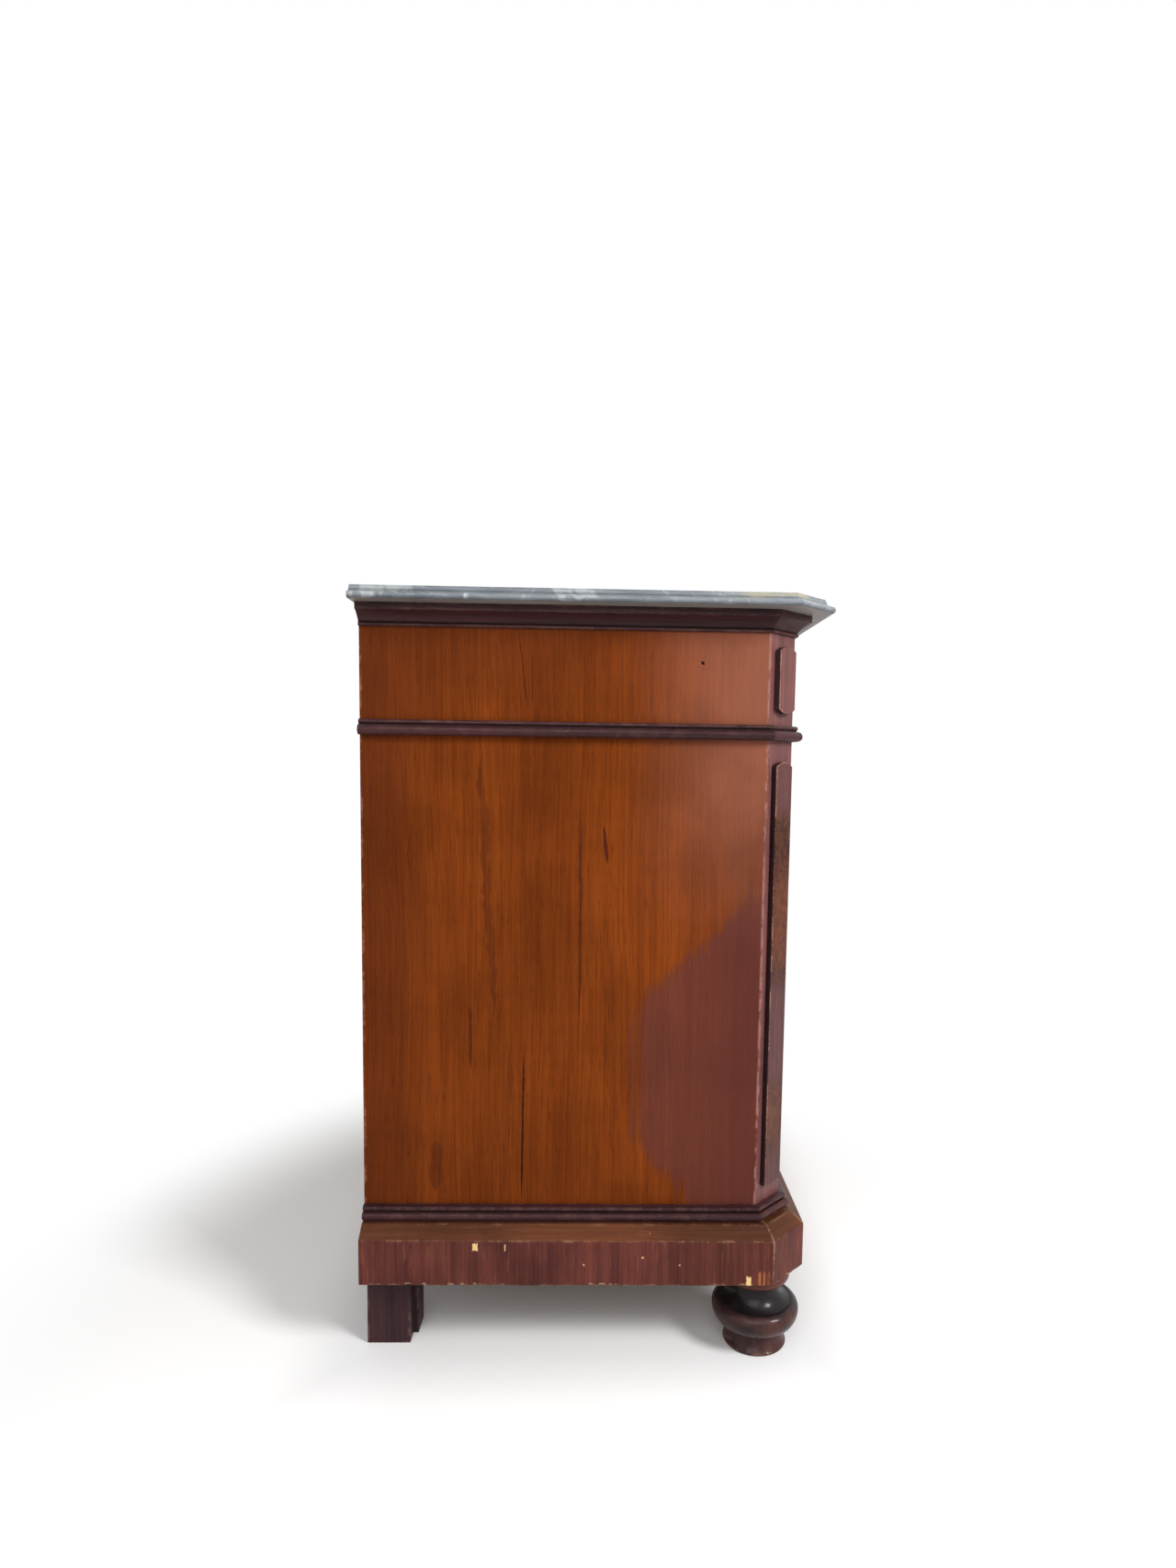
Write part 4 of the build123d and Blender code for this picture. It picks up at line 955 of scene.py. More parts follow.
def pilaster_finish(wood):
    """Veneered pilasters: plain walnut above, burl in the middle and again lower down."""
    material, n = start_finish("burl_pilaster")
    vector, _, _, z = n.place()
    figure = n.veneer(vector, wood, "corner", 0.02, 1.0, 1.0, 0.4)
    burl = n.group(
        effect("burl"), Vector=vector, Light=look(wood, "burl_light"), Dark=look(wood, "burl_dark")
    )
    stirred = n.plus(z, n.times(n.noise(vector, 24, 3), 0.05))
    high = n.times(n.rise(stirred, 0.500, 0.560), n.rise(stirred, 0.765, 0.735))
    low = n.times(n.rise(stirred, 0.275, 0.315), n.rise(stirred, 0.410, 0.380))
    amount = n.most(high, n.times(low, 0.8))
    base = n.mix(amount, figure["Color"], burl["Color"])
    base = n.shade(base, 0.66)
    wear_and_painted_light = n.wear_and_painted_light(vector, 0.75)
    # Paler rubbed edges, also a painted highlight on them
    base = n.mix(wear_and_painted_light["Rubbed"], base, (0.34, 0.17, 0.11))
    # Painted shade: the side walls of the pilasters are made near black
    base = n.tint(base, (0.012, 0.004, 0.006), n.read("wall"), 0.92)
    polish = n.polish(vector, 0.22, 0.38)
    end_finish(n, base, polish["Roughness"], figure["Height"], 0.0001, specular=0.18)
    return material


def moulding_finish(wood):
    """Dark polished mouldings: grain along the run, rubbed on the rounds with a painted highlight there, and black in
    the hollows with dirt and painted shade.
    """
    material, n = start_finish("dark_moulding")
    vector = n.place()[0]
    grain = n.read("grain", "Vector")
    figure = n.veneer(grain, wood, "moulding", 0.01, 1.6, 1.2, 0.5)
    wear_and_painted_light = n.wear_and_painted_light(vector, 0.26)
    # Rubbed rounds, also a painted highlight; dirt and painted shade in the hollows
    base = n.mix(wear_and_painted_light["Rubbed"], figure["Color"], look(wood, "moulding_worn_and_highlight"))
    base = n.tint(base, (0.008, 0.005, 0.005), wear_and_painted_light["Dirt"], 0.85)
    base = n.tint(base, (0.010, 0.005, 0.005), n.read("joint"), 0.55)
    specks = n.specks(vector, 80.0, 0.09, 0.10)
    base = n.tint(base, (0.30, 0.20, 0.15), specks, 0.6)
    polish = n.polish(vector, 0.24, 0.42)
    height = n.minus(figure["Height"], n.times(n.read("joint"), 0.8))
    end_finish(n, base, polish["Roughness"], height, 0.00015, specular=0.16)
    return material


def plinth_finish(wood):
    """Plinth: cross-grained red-brown face, olive bevel, a rubbed arris with a painted highlight and chips down to
    bare wood.
    """
    material, n = start_finish("plinth_walnut")
    vector, x, y, z = n.place()
    grain = n.add("SeparateXYZ", {0: n.read("grain", "Vector")}).outputs
    crosswise = n.add("CombineXYZ", {0: grain[2], 1: grain[1], 2: grain[0]}).outputs[0]
    face = n.veneer(crosswise, wood, "plinth", 0.012, 1.5, 1.5, 0.4)
    top = n.veneer(n.read("grain", "Vector"), wood, "bevel", 0.05, 1.4, 0.9, 0.3)
    bevel_high = 0.0142
    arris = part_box("plinth_front")[1].z - bevel_high
    on_top = n.rise(z, arris - 0.0004, arris + 0.0004)
    base = n.mix(on_top, face["Color"], top["Color"])
    pale_streak = n.rise(n.noise(n.scaled(crosswise, 260, 260, 20), detail=2), 0.58, 0.70)
    base = n.tint(base, (0.28, 0.10, 0.040), pale_streak, n.minus(0.24, n.times(on_top, 0.16)))
    blotch = n.rise(n.noise(vector, 9, 4), 0.40, 0.62, 0.78, 1.12)
    base = n.shade(base, blotch)
    wear_and_painted_light = n.wear_and_painted_light(vector, 0.6, deep=0.0)
    # Paler rubbed edges, also a painted highlight on them
    base = n.mix(wear_and_painted_light["Rubbed"], base, (0.30, 0.15, 0.085))
    open_joint = n.times(n.read("joint"), n.rise(n.noise(vector, 90, 3), 0.40, 0.60, 0.15, 0.6))
    base = n.mix(open_joint, base, (0.40, 0.24, 0.15))
    left = n.math("LESS_THAN", x, -HALF_BODY)
    # Chips to bare wood: middle across and along, half size across and along, strength
    chips = (
        (0.1499, 0.1600, 0.0034, 0.0052, 1.0),
        (0.1110, 0.1595, 0.0010, 0.0046, 0.7),
        (-0.2090, 0.1115, 0.0034, 0.0088, 1.0),
        (0.0080, 0.1360, 0.0012, 0.0014, 0.6),
        (-0.0690, 0.1460, 0.0016, 0.0012, 0.7),
        (-0.1175, 0.1360, 0.0012, 0.0010, 0.8),
    )
    bare = 0.0
    for *chip, strength in chips:
        bare = n.most(bare, n.times(n.chip(y, z, *chip), strength))
    bare = n.times(bare, left)
    scuffed = n.chip(y, z, -0.2290, 0.1150, 0.0085, 0.0115)
    stripes = n.rise(n.noise(n.scaled(crosswise, 420, 420, 3)), 0.42, 0.60)
    scuffed = n.times(n.times(scuffed, stripes), left)
    base = n.tint(base, (0.40, 0.13, 0.045), scuffed, 0.8)
    base = n.mix(bare, base, look(wood, "bare"))
    base = n.tint(base, look(wood, "bare"), n.read("bared"), 0.9)
    specks = n.specks(vector, 70.0, 0.10, 0.10)
    base = n.tint(base, (0.55, 0.36, 0.22), specks, 0.7)
    nicks = n.specks(vector, 48.0, 0.09, 0.12)
    base = n.tint(base, (0.02, 0.008, 0.008), nicks, 0.6)
    polish = n.polish(vector, 0.34, 0.52)
    height = n.minus(n.times(face["Height"], 0.5), n.times(bare, 2.0))
    end_finish(n, base, polish["Roughness"], height, 0.0002, specular=0.12)
    return material


def foot_finish(wood):
    """Turned feet: glossy, black in the hollow, rubbed red-brown with a painted highlight on the torus and the base.
    """
    material, n = start_finish("foot_polish")
    vector, _, _, z = n.place()
    figure = n.veneer(vector, wood, "foot", 0.02, 1.6, 1.3, 0.4)
    hollow = n.times(n.rise(z, 0.0595, 0.0620), n.rise(z, 0.0925, 0.0900))
    base = n.tint(figure["Color"], (0.006, 0.0055, 0.007), hollow, 0.94)
    smoke = n.times(n.rise(n.noise(vector, 38, 4), 0.42, 0.62), n.rise(z, 0.020, 0.050))
    base = n.tint(base, (0.012, 0.008, 0.009), smoke, 0.75)
    wear_and_painted_light = n.wear_and_painted_light(vector, 0.5)
    # Rubbed red-brown on the rounds, also a painted highlight; dirt and painted shade in the hollows
    base = n.tint(base, (0.20, 0.095, 0.060), wear_and_painted_light["Rubbed"], 0.8)
    base = n.tint(base, (0.008, 0.005, 0.005), wear_and_painted_light["Dirt"], 0.6)
    specks = n.specks(vector, 95.0, 0.10, 0.16)
    base = n.tint(base, (0.38, 0.24, 0.15), specks, 0.7)
    polish = n.polish(vector, 0.18, 0.40)
    height = n.minus(figure["Height"], n.times(n.noise(vector, 140, 3), 0.8))
    collar = n.rise(z, 0.0915, 0.0930)
    base = n.tint(base, (0.120, 0.032, 0.024), collar, 0.8)
    end_finish(n, base, polish["Roughness"], height, 0.00015, specular=0.12, coat=0.22, coat_rough=0.05)
    return material


def block_finish(wood):
    """Rear feet: dull dark stain, scuffed at the edges with a painted highlight there."""
    material, n = start_finish("rear_foot_stain")
    vector = n.place()[0]
    figure = n.veneer(vector, wood, "block", 0.02, 1.3, 1.4, 0.5)
    wear_and_painted_light = n.wear_and_painted_light(vector, 0.5)
    # Paler rubbed edges, also a painted highlight on them
    base = n.mix(wear_and_painted_light["Rubbed"], figure["Color"], (0.17, 0.10, 0.085))
    scuff = n.rise(n.noise(n.scaled(vector, 30, 30, 190), detail=3), 0.66, 0.74)
    base = n.tint(base, (0.16, 0.11, 0.10), scuff, 0.35)
    specks = n.specks(vector, 90.0, 0.10, 0.14)
    base = n.tint(base, (0.26, 0.20, 0.17), specks, 0.5)
    polish = n.polish(vector, 0.40, 0.60)
    end_finish(n, base, polish["Roughness"], figure["Height"], 0.0002, specular=0.2)
    return material


def front_finish(wood):
    """Drawer fronts: figured walnut, cut open and mirrored about the middle, with poplar behind."""
    material, n = start_finish("front_walnut")
    vector, x, y, z = n.place()
    opened = n.add("CombineXYZ", {0: n.size(x), 1: y, 2: z}).outputs[0]
    flame = n.noise(n.scaled(opened, 3.2, 3.2, 5.0), detail=3)
    climb = n.plus(z, n.times(flame, 0.55))
    flowing = n.add("CombineXYZ", {0: n.times(n.size(x), 0.75), 1: climb, 2: z}).outputs[0]
    figure = n.veneer(flowing, wood, "front", 0.05, 2.2, 1.3, 0.45)
    behind = n.veneer(n.add("CombineXYZ", {0: z, 1: y, 2: x}).outputs[0], wood, "poplar", 0.02, 1.2, 1.0, 0.1)
    seam = n.rise(n.size(x), 0.0006, 0.0003, 0.0, 0.6)
    face = n.mix(seam, figure["Color"], (0.03, 0.012, 0.008))
    base = n.mix(n.math("GREATER_THAN", y, FRONT_Y + VENEER), face, behind["Color"])
    polish = n.polish(vector, 0.24, 0.40)
    end_finish(n, base, polish["Roughness"], figure["Height"], 0.0001, specular=0.4)
    return material


def long_grain(name, wood, tone, axis, veneered=False):
    """Plain inside wood with its grain along X, Y or Z, and walnut on the front edge where asked."""
    material, n = start_finish(name)
    vector, x, y, z = n.place()
    order = {"X": (y, z, x), "Y": (x, z, y), "Z": (x, y, z)}[axis]
    turned_vector = n.add("CombineXYZ", enumerate(order)).outputs[0]
    figure = n.veneer(turned_vector, wood, tone, 0.03, 1.4, 1.1, 0.15)
    soil = n.rise(n.noise(vector, 6, 5, 0.6), 0.42, 0.66, 1.0, 0.74)
    base = n.shade(figure["Color"], soil)
    knots = n.specks(n.scaled(turned_vector, 1, 1, 0.45), 5.0, 0.10, 0.3)
    base = n.tint(base, (0.09, 0.045, 0.022), knots, 0.75)
    if veneered:
        edge = n.veneer(turned_vector, wood, "corner", 0.02, 1.4, 1.2, 0.4)
        base = n.mix(n.math("LESS_THAN", y, FRONT_Y + VENEER), base, edge["Color"])
    rough = n.rise(figure["Tone"], 0.2, 0.8, 0.58, 0.74)
    end_finish(n, base, rough, figure["Height"], 0.0002, specular=0.3)
    return material


def marble_finish(marble):
    """Grey-blue marble: clouds, pale veins, a rusty streak, white bruises on the worn edge, pale rubbed edges with a
    painted highlight, and painted shade in the hollows and under the nosing.
    """
    material, n = start_finish("grey_marble")
    vector, x, y, z = n.place()
    drift = n.noise(vector, 3.5, 4, 0.55, 0.8)
    cloud = n.noise(n.scaled(vector, 6, 9, 40), detail=5, roughness=0.55, distortion=0.6)
    tone = n.plus(n.times(cloud, 0.75), n.times(drift, 0.35))
    base = n.mix(n.rise(tone, 0.40, 0.72), look(marble, "dark"), look(marble, "light"))
    fold = n.size(n.minus(n.noise(vector, 2.6, 5, 0.55, 1.4), 0.5))
    thin = n.size(n.minus(n.noise(vector, 9, 6, 0.6, 0.9), 0.5))
    vein = n.most(n.rise(fold, 0.020, 0.002, 0.0, 0.60), n.rise(thin, 0.010, 0.001, 0.0, 0.32))
    base = n.mix(vein, base, look(marble, "vein"))
    rusty = n.times(n.rise(y, -0.135, -0.20), n.rise(z, BODY_TOP + 0.006, BODY_TOP + 0.0115))
    rusty = n.times(rusty, n.rise(n.noise(n.scaled(vector, 30, 14, 160), detail=3), 0.42, 0.60))
    rusty = n.times(rusty, n.math("LESS_THAN", x, -HALF_BODY))
    base = n.tint(base, look(marble, "rust"), rusty, 0.6)
    wear_and_painted_light = n.wear_and_painted_light(vector, 0.16)
    # Paler rubbed edges, also a painted highlight; dirt and painted shade in the hollows
    base = n.mix(wear_and_painted_light["Rubbed"], base, look(marble, "vein"))
    base = n.tint(base, (0.045, 0.047, 0.050), wear_and_painted_light["Dirt"], 0.9)
    # Painted shade: the nosing darkens towards its underside, to half at the bottom edge
    base = n.shade(base, n.rise(z, BODY_TOP, BODY_TOP + 0.0060, 0.50, 1.0))
    base = n.tint(base, (0.82, 0.83, 0.82), n.read("bared"), 0.95)
    specks = n.specks(vector, 130.0, 0.14, 0.10)
    base = n.tint(base, look(marble, "vein"), specks, 0.5)
    under = n.rise(z, BODY_TOP + 0.0006, BODY_TOP + 0.0001)
    base = n.tint(base, (0.30, 0.265, 0.235), under, 0.8)
    rough = n.rise(cloud, 0.3, 0.7, 0.24, 0.40)
    rough = n.plus(rough, n.times(n.read("bared"), 0.3))
    height = n.minus(n.times(n.noise(vector, 300, 3), 0.4), n.times(vein, 0.5))
    end_finish(n, base, rough, height, 0.00008, specular=0.45)
    return material


def brass_finish(fittings):
    """Old brass: tarnished in patches and bright where it is rubbed, which also paints a highlight on its edges."""
    material, n = start_finish("old_brass")
    vector = n.place()[0]
    film = n.rise(n.noise(vector, 110, 4, 0.6), 0.40, 0.62)
    wear_and_painted_light = n.wear_and_painted_light(vector, 0.9)
    # Less tarnish where it is rubbed, also a painted highlight on the edges
    film = n.minus(film, wear_and_painted_light["Rubbed"], clamp=True)
    base = n.tint(look(fittings, "brass"), look(fittings, "tarnish"), film, 0.7)
    scratch = n.noise(n.scaled(vector, 900, 900, 160), detail=2)
    rough = n.plus(n.rise(film, 0.0, 1.0, 0.26, 0.46), n.times(scratch, 0.08))
    end_finish(n, base, rough, scratch, 0.00004, metallic=1.0)
    return material


def metal_finish(name, fittings, ground, rust, share, gloss):
    """Worked iron or steel with rust in patches."""
    material, n = start_finish(name)
    vector = n.place()[0]
    patch = n.noise(vector, 160, 5, 0.65)
    rusty = n.rise(patch, 0.72 - share, 0.80 - share)
    base = n.tint(look(fittings, ground), look(fittings, rust), rusty, 0.8)
    rough = n.rise(rusty, 0.0, 1.0, gloss, 0.72)
    end_finish(n, base, rough, patch, 0.0001, metallic=0.85)
    return material


FINISHES = {
    "side": side_finish,
    "corner": corner_finish,
    "pilaster": pilaster_finish,
    "moulding": moulding_finish,
    "plinth": plinth_finish,
    "foot": foot_finish,
    "block": block_finish,
    "front": front_finish,
    "drawer_x": lambda wood: long_grain("drawer_poplar_x", wood, "poplar", "X"),
    "drawer_y": lambda wood: long_grain("drawer_poplar_y", wood, "poplar", "Y"),
    "aged_x": lambda wood: long_grain("carcass_poplar_x", wood, "aged", "X", True),
    "aged_y": lambda wood: long_grain("carcass_poplar_y", wood, "aged", "Y"),
    "aged_z": lambda wood: long_grain("carcass_poplar_z", wood, "aged", "Z"),
    "marble": marble_finish,
    "brass": brass_finish,
    "steel": lambda fittings: metal_finish("key_steel", fittings, "steel", "rust", 0.12, 0.30),
    "iron": lambda fittings: metal_finish("lock_iron", fittings, "iron", "rust", 0.20, 0.45),
}


# ---- Pieces -------------------------------------------------------------------------------------


def marble_slab(marble):
    """The slab as a stack of rings: the edge profile, each point of it carried round the plan and the back."""
    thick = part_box("marble_top")[1].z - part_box("marble_top")[0].z
    low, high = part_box("marble_top")
    nose, cove, step = marble.nosing, marble.cove, marble.step
    quirk = step / 4
    foot, head = 2 * nose, thick - step
    inner = -nose - cove
    hollow_rise = head - quirk - foot
    edge = inner - step / 2
    profile = np.vstack([
        [(-0.030, 0.0), (-nose - 0.003, 0.0)],
        arc((-nose, 0.0), (0.0, nose), (-nose, foot), 16),
        arc((-nose, foot), (-nose - cove * DIAGONAL, head - quirk - hollow_rise * DIAGONAL),
            (inner, head - quirk), 10)[1:],
        [(inner - step / 4, head - 0.0002), (edge, head + 0.0002), (edge, thick - 0.0006)],
        arc((edge, thick - 0.0005), (edge - 0.00015, thick - 0.00015), (edge - 0.0005, thick), 3),
        [(edge - 0.0012, thick), (edge - 0.008, thick)],
    ])
    corners = plan_corners(high.x, low.y, high.y, marble.corner_cut)
    place, shift, along, corner_gap, _ = round_the_plan(corners, 0.0028)
    bite = np.clip(wander(along, 0.0065, 3) - 0.80, 0, 1) * np.clip(wander(along, 0.060, 8) - 0.55, 0, 1)
    bite = np.clip(bite * 9, 0, 1) ** 0.8
    on_nose = np.exp(-(((profile[:, 1] - 1.25 * nose) / (0.75 * nose)) ** 2)) * (profile[:, 0] > -nose - 0.0015)
    worn_down = (0.2 + 0.5 * wander(along, 0.06, 5)) * 0.0002
    depth = on_nose[:, None] * (bite * marble.chip + worn_down)[None]
    out = profile[:, :1] - depth
    flat = place[None] + shift[None] * out[..., None]
    points = np.concatenate([flat, np.broadcast_to(BODY_TOP + profile[:, 1, None], out.shape)[..., None]], -1)
    closed = np.vstack([profile, [(-0.05, thick), (-0.05, 0.0)]])
    worn, deep = (values[: len(profile), None] for values in bends(closed))
    ends = np.exp(-((corner_gap / 0.002) ** 2))[None]
    grid = Grid(points, {
        "worn": np.maximum(worn, 0.6 * ends * (profile[:, :1] > -0.02)),
        "deep": np.broadcast_to(deep, out.shape),
        "bared": on_nose[:, None] * bite[None],
    })
    return grid


class CHEST_OT_marble_top(Operator):
    """Make the marble slab with its worn nosing, hollow and step"""

    bl_idname = "chest.marble_top"
    bl_label = "Marble top"

    def execute(self, context):
        marble = context.scene.chest_marble
        piece("marble_slab", [marble_slab(marble)], "carcass", ["marble_top"], [finish("marble", marble)])
        return {"FINISHED"}


def cornice_profile(m, out, high):
    """A bead, a hollow splay and a fillet."""
    bead = m.cornice_bead
    shoulder = high - m.cornice_fillet
    inner = out - m.cornice_step
    middle = ((bead + inner) / 2 - 0.001, (2 * bead + shoulder) / 2 + 0.001)
    return outline(
        (0, 0, 0), arc((bead, 0), (2 * bead, bead), (bead, 2 * bead), 8),
        arc((bead, 2 * bead), middle, (inner, shoulder), 8)[1:-1], (inner, shoulder, m.soft / 2),
        (out, shoulder, m.soft), (out, high, m.soft), (0, high, 0),
    )


def waist_profile(m, out, high):
    """A torus, a groove and a small bead above it."""
    radius, groove = m.waist_torus, m.waist_groove
    inner, top = out - radius, 2 * radius
    bead = top + groove
    return outline(
        (0, 0, 0), arc((inner, 0), (out, radius), (inner, top), 18), (inner - groove, top, groove / 3),
        (inner - groove, bead, groove / 3),
        arc((inner - groove, bead), (0.007, (bead + high) / 2), (inner - 2 * groove, high), 8)[1:], (0, high, 0),
    )


def base_profile(m, out, high):
    """A recess, a torus, a groove, and a fillet that runs back to the body."""
    radius, step, groove = m.base_torus, m.base_step, m.base_groove
    inner, top = out - radius, step + 2 * radius
    foot = top + groove
    return outline(
        (0, 0, 0), (inner, 0, 0), (inner, step, m.soft / 3),
        arc((inner, step), (out, step + radius), (inner, top), 16)[1:-1], (inner, top, m.soft / 3),
        (inner - groove, top, m.soft / 2), (inner - groove, foot, m.soft / 2), (inner, foot, m.soft),
        (inner, high - 0.0015, m.soft), (0.003, high, m.soft / 2), (0, high, 0),
    )


class CHEST_OT_mouldings(Operator):
    """Make the cornice, the waist moulding and the base moulding, each mitred round the body"""

    bl_idname = "chest.mouldings"
    bl_label = "Mouldings"

    def execute(self, context):
        settings = context.scene.chest_mouldings
        dark = finish("moulding", context.scene.chest_wood)
        corners = plan_corners(HALF_BODY, FRONT_Y, BACK_Y, settings.body_cut)
        for name, node, shape in (
            ("cornice", "cornice", cornice_profile),
            ("waist_band", "waist_moulding", waist_profile),
            ("base_band", "base_moulding", base_profile),
        ):
            low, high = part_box(f"{node}_front")
            profile = shape(settings, FRONT_Y - low.y, high.z - low.z)
            grid = carried(profile, corners, low.z, 0.012)
            piece(name, [grid], "carcass", [f"{node}_front", f"{node}_returns"], [dark])
        return {"FINISHED"}


class CHEST_OT_plinth(Operator):
    """Make the plinth, mitred round the body, with splinters gone from its lower edge"""

    bl_idname = "chest.plinth"
    bl_label = "Plinth"

    def execute(self, context):
        m = context.scene.chest_mouldings
        low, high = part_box("plinth_front")
        out, tall = FRONT_Y - low.y, high.z - low.z
        shoulder = tall - m.plinth_bevel
        base_out = FRONT_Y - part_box("base_moulding_front")[0].y
        turn = m.plinth_round * (1 - DIAGONAL)
        profile = outline(
            (0, 0, 0), (out - m.plinth_round - 0.002, 0, 0),
            arc((out - m.plinth_round, 0), (out - turn, turn), (out, m.plinth_round), 10),
            [(out, 0.0055), (out, 0.0085)], (out, shoulder, 0.0018), (base_out, tall, 0.0004), (0, tall, 0),
        )

        def splinters(along, section):
            """Chips in the lower edge: where a random curve is high, the edge is drawn up and in."""
            bite = np.clip(wander(along, 0.004, 21) - 0.66, 0, 1) * np.clip(wander(along, 0.03, 22) - 0.3, 0, 1)
            bite = np.clip(bite * 7, 0, 1)[:, None]
            low_edge = np.exp(-((section[:, 1] / 0.0035) ** 2)) * (section[:, 0] > out - 0.014)
            uneven = (wander(along, 0.05, 23) - 0.5)[:, None] * 0.0008
            lift = bite * low_edge[None] * m.splinter + low_edge[None] * (uneven + 0.0004)
            return -0.6 * bite * low_edge[None] * m.splinter, lift, bite * (low_edge[None] > 0.15)

        corners = plan_corners(HALF_BODY, FRONT_Y, BACK_Y, m.plinth_cut)
        grid = carried(profile, corners, low.z, 0.0032, splinters)
        piece(
            "plinth_boards", [grid], "carcass", ["plinth_front", "plinth_left", "plinth_right"],
            [finish("plinth", context.scene.chest_wood)],
        )
        dress("plinth_back", finish("aged_x", context.scene.chest_wood))
        return {"FINISHED"}


class CHEST_OT_sides(Operator):
    """Make each side board and its corner post as one veneered shell with eased edges"""

    bl_idname = "chest.sides"
    bl_label = "Sides and corner posts"

    def execute(self, context):
        m, wood = context.scene.chest_mouldings, context.scene.chest_wood
        rebate_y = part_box("back_boards")[0].y
        rebate_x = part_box("back_boards")[1].x + 0.0005
        for side, name in zip(SIDES, ("left", "right")):
            corners = (
                (HALF_BODY, BACK_Y, m.soft), (rebate_x, BACK_Y, m.soft / 2), (rebate_x, rebate_y, 0),
                (HALF_INSIDE, rebate_y, 0), (HALF_INSIDE, POST_BACK_Y, 0), (HALF_OPENING, POST_BACK_Y, 0),
                (HALF_OPENING, FRONT_Y, m.soft / 2), (HALF_BODY - m.body_cut, FRONT_Y, m.soft),
                (HALF_BODY, FRONT_Y + m.body_cut, m.soft),
            )
            loop = outline(*[(side * x, y, r) for x, y, r in corners])
            grid = drawn_out(loop, FOOT_TOP, BODY_TOP, m.soft, upright)
            shell = piece(
                f"side_shell_{name}", [grid], "carcass", [f"side_{name}", f"corner_post_{name}"],
                [finish("side", wood), finish("corner", wood), finish("aged_z", wood)],
            )
            middle = np.zeros(len(shell.data.polygons) * 3)
            shell.data.polygons.foreach_get("center", middle)
            x, y, _ = middle.reshape(-1, 3).T
            x = np.abs(x)
            cant = x - y - (HALF_BODY - FRONT_Y - m.body_cut)
            inner = (x < HALF_BODY - 0.002) & (y > FRONT_Y + 0.0008) & (cant < -0.001) & (y < BACK_Y - 0.0004)
            on_corner = (cant > -0.0006) | (y < FRONT_Y + 0.0008)
            shell.data.polygons.foreach_set("material_index", np.where(inner, 2, np.where(on_corner, 1, 0)))
        return {"FINISHED"}


def corner_panel(side, low, high, thick, arch_below, cut):
    """An upright panel on a cut corner with a segmental arch on top, and below where asked."""
    half, soft = PANEL_HALF, PANEL_SOFT
    shoulder = high - PANEL_ARCH
    spring = low + PANEL_ARCH if arch_below else low
    top = arc((half, shoulder), (0, high), (-half, shoulder), 16)[1:-1]
    lower = [arc((-half, spring), (0, low), (half, spring), 16)[1:-1]] if arch_below else []
    loop = outline(
        (half, shoulder, soft), top, (-half, shoulder, soft), (-half, spring, soft), *lower, (half, spring, soft)
    )
    origin = (side * (HALF_BODY - cut / 2), FRONT_Y + cut / 2, 0)
    axes = on_axes(origin, (DIAGONAL, side * DIAGONAL, 0), (0, 0, 1), (side * DIAGONAL, -DIAGONAL, 0))
    panel = drawn_out(loop, 0.0, thick, 0.0011, axes, soft_low=False, margin=0.0045)
    rows = np.arange(len(panel.points))[:, None]
    # Marks the straight side walls of the panel, below its eased front edge, for painted shade
    panel.fields["wall"] = np.broadcast_to(rows < len(rows) - 5, panel.points.shape[:2]).astype(float)
    return panel


class CHEST_OT_corner_panels(Operator):
    """Make the tablets and the arched pilasters on the cut corners"""

    bl_idname = "chest.corner_panels"
    bl_label = "Tablets and pilasters"

    def execute(self, context):
        cut, wood = context.scene.chest_mouldings.body_cut, context.scene.chest_wood
        for name, node, thick, arch_below, kind in (
            ("tablets", "corner_tablets", 0.009, True, "corner"),
            ("pilasters", "corner_pilasters", 0.008, False, "pilaster"),
        ):
            low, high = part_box(node)
            grids = [corner_panel(side, low.z, high.z, thick, arch_below, cut) for side in SIDES]
            piece(name, grids, "carcass", [node], [finish(kind, wood)])
        return {"FINISHED"}


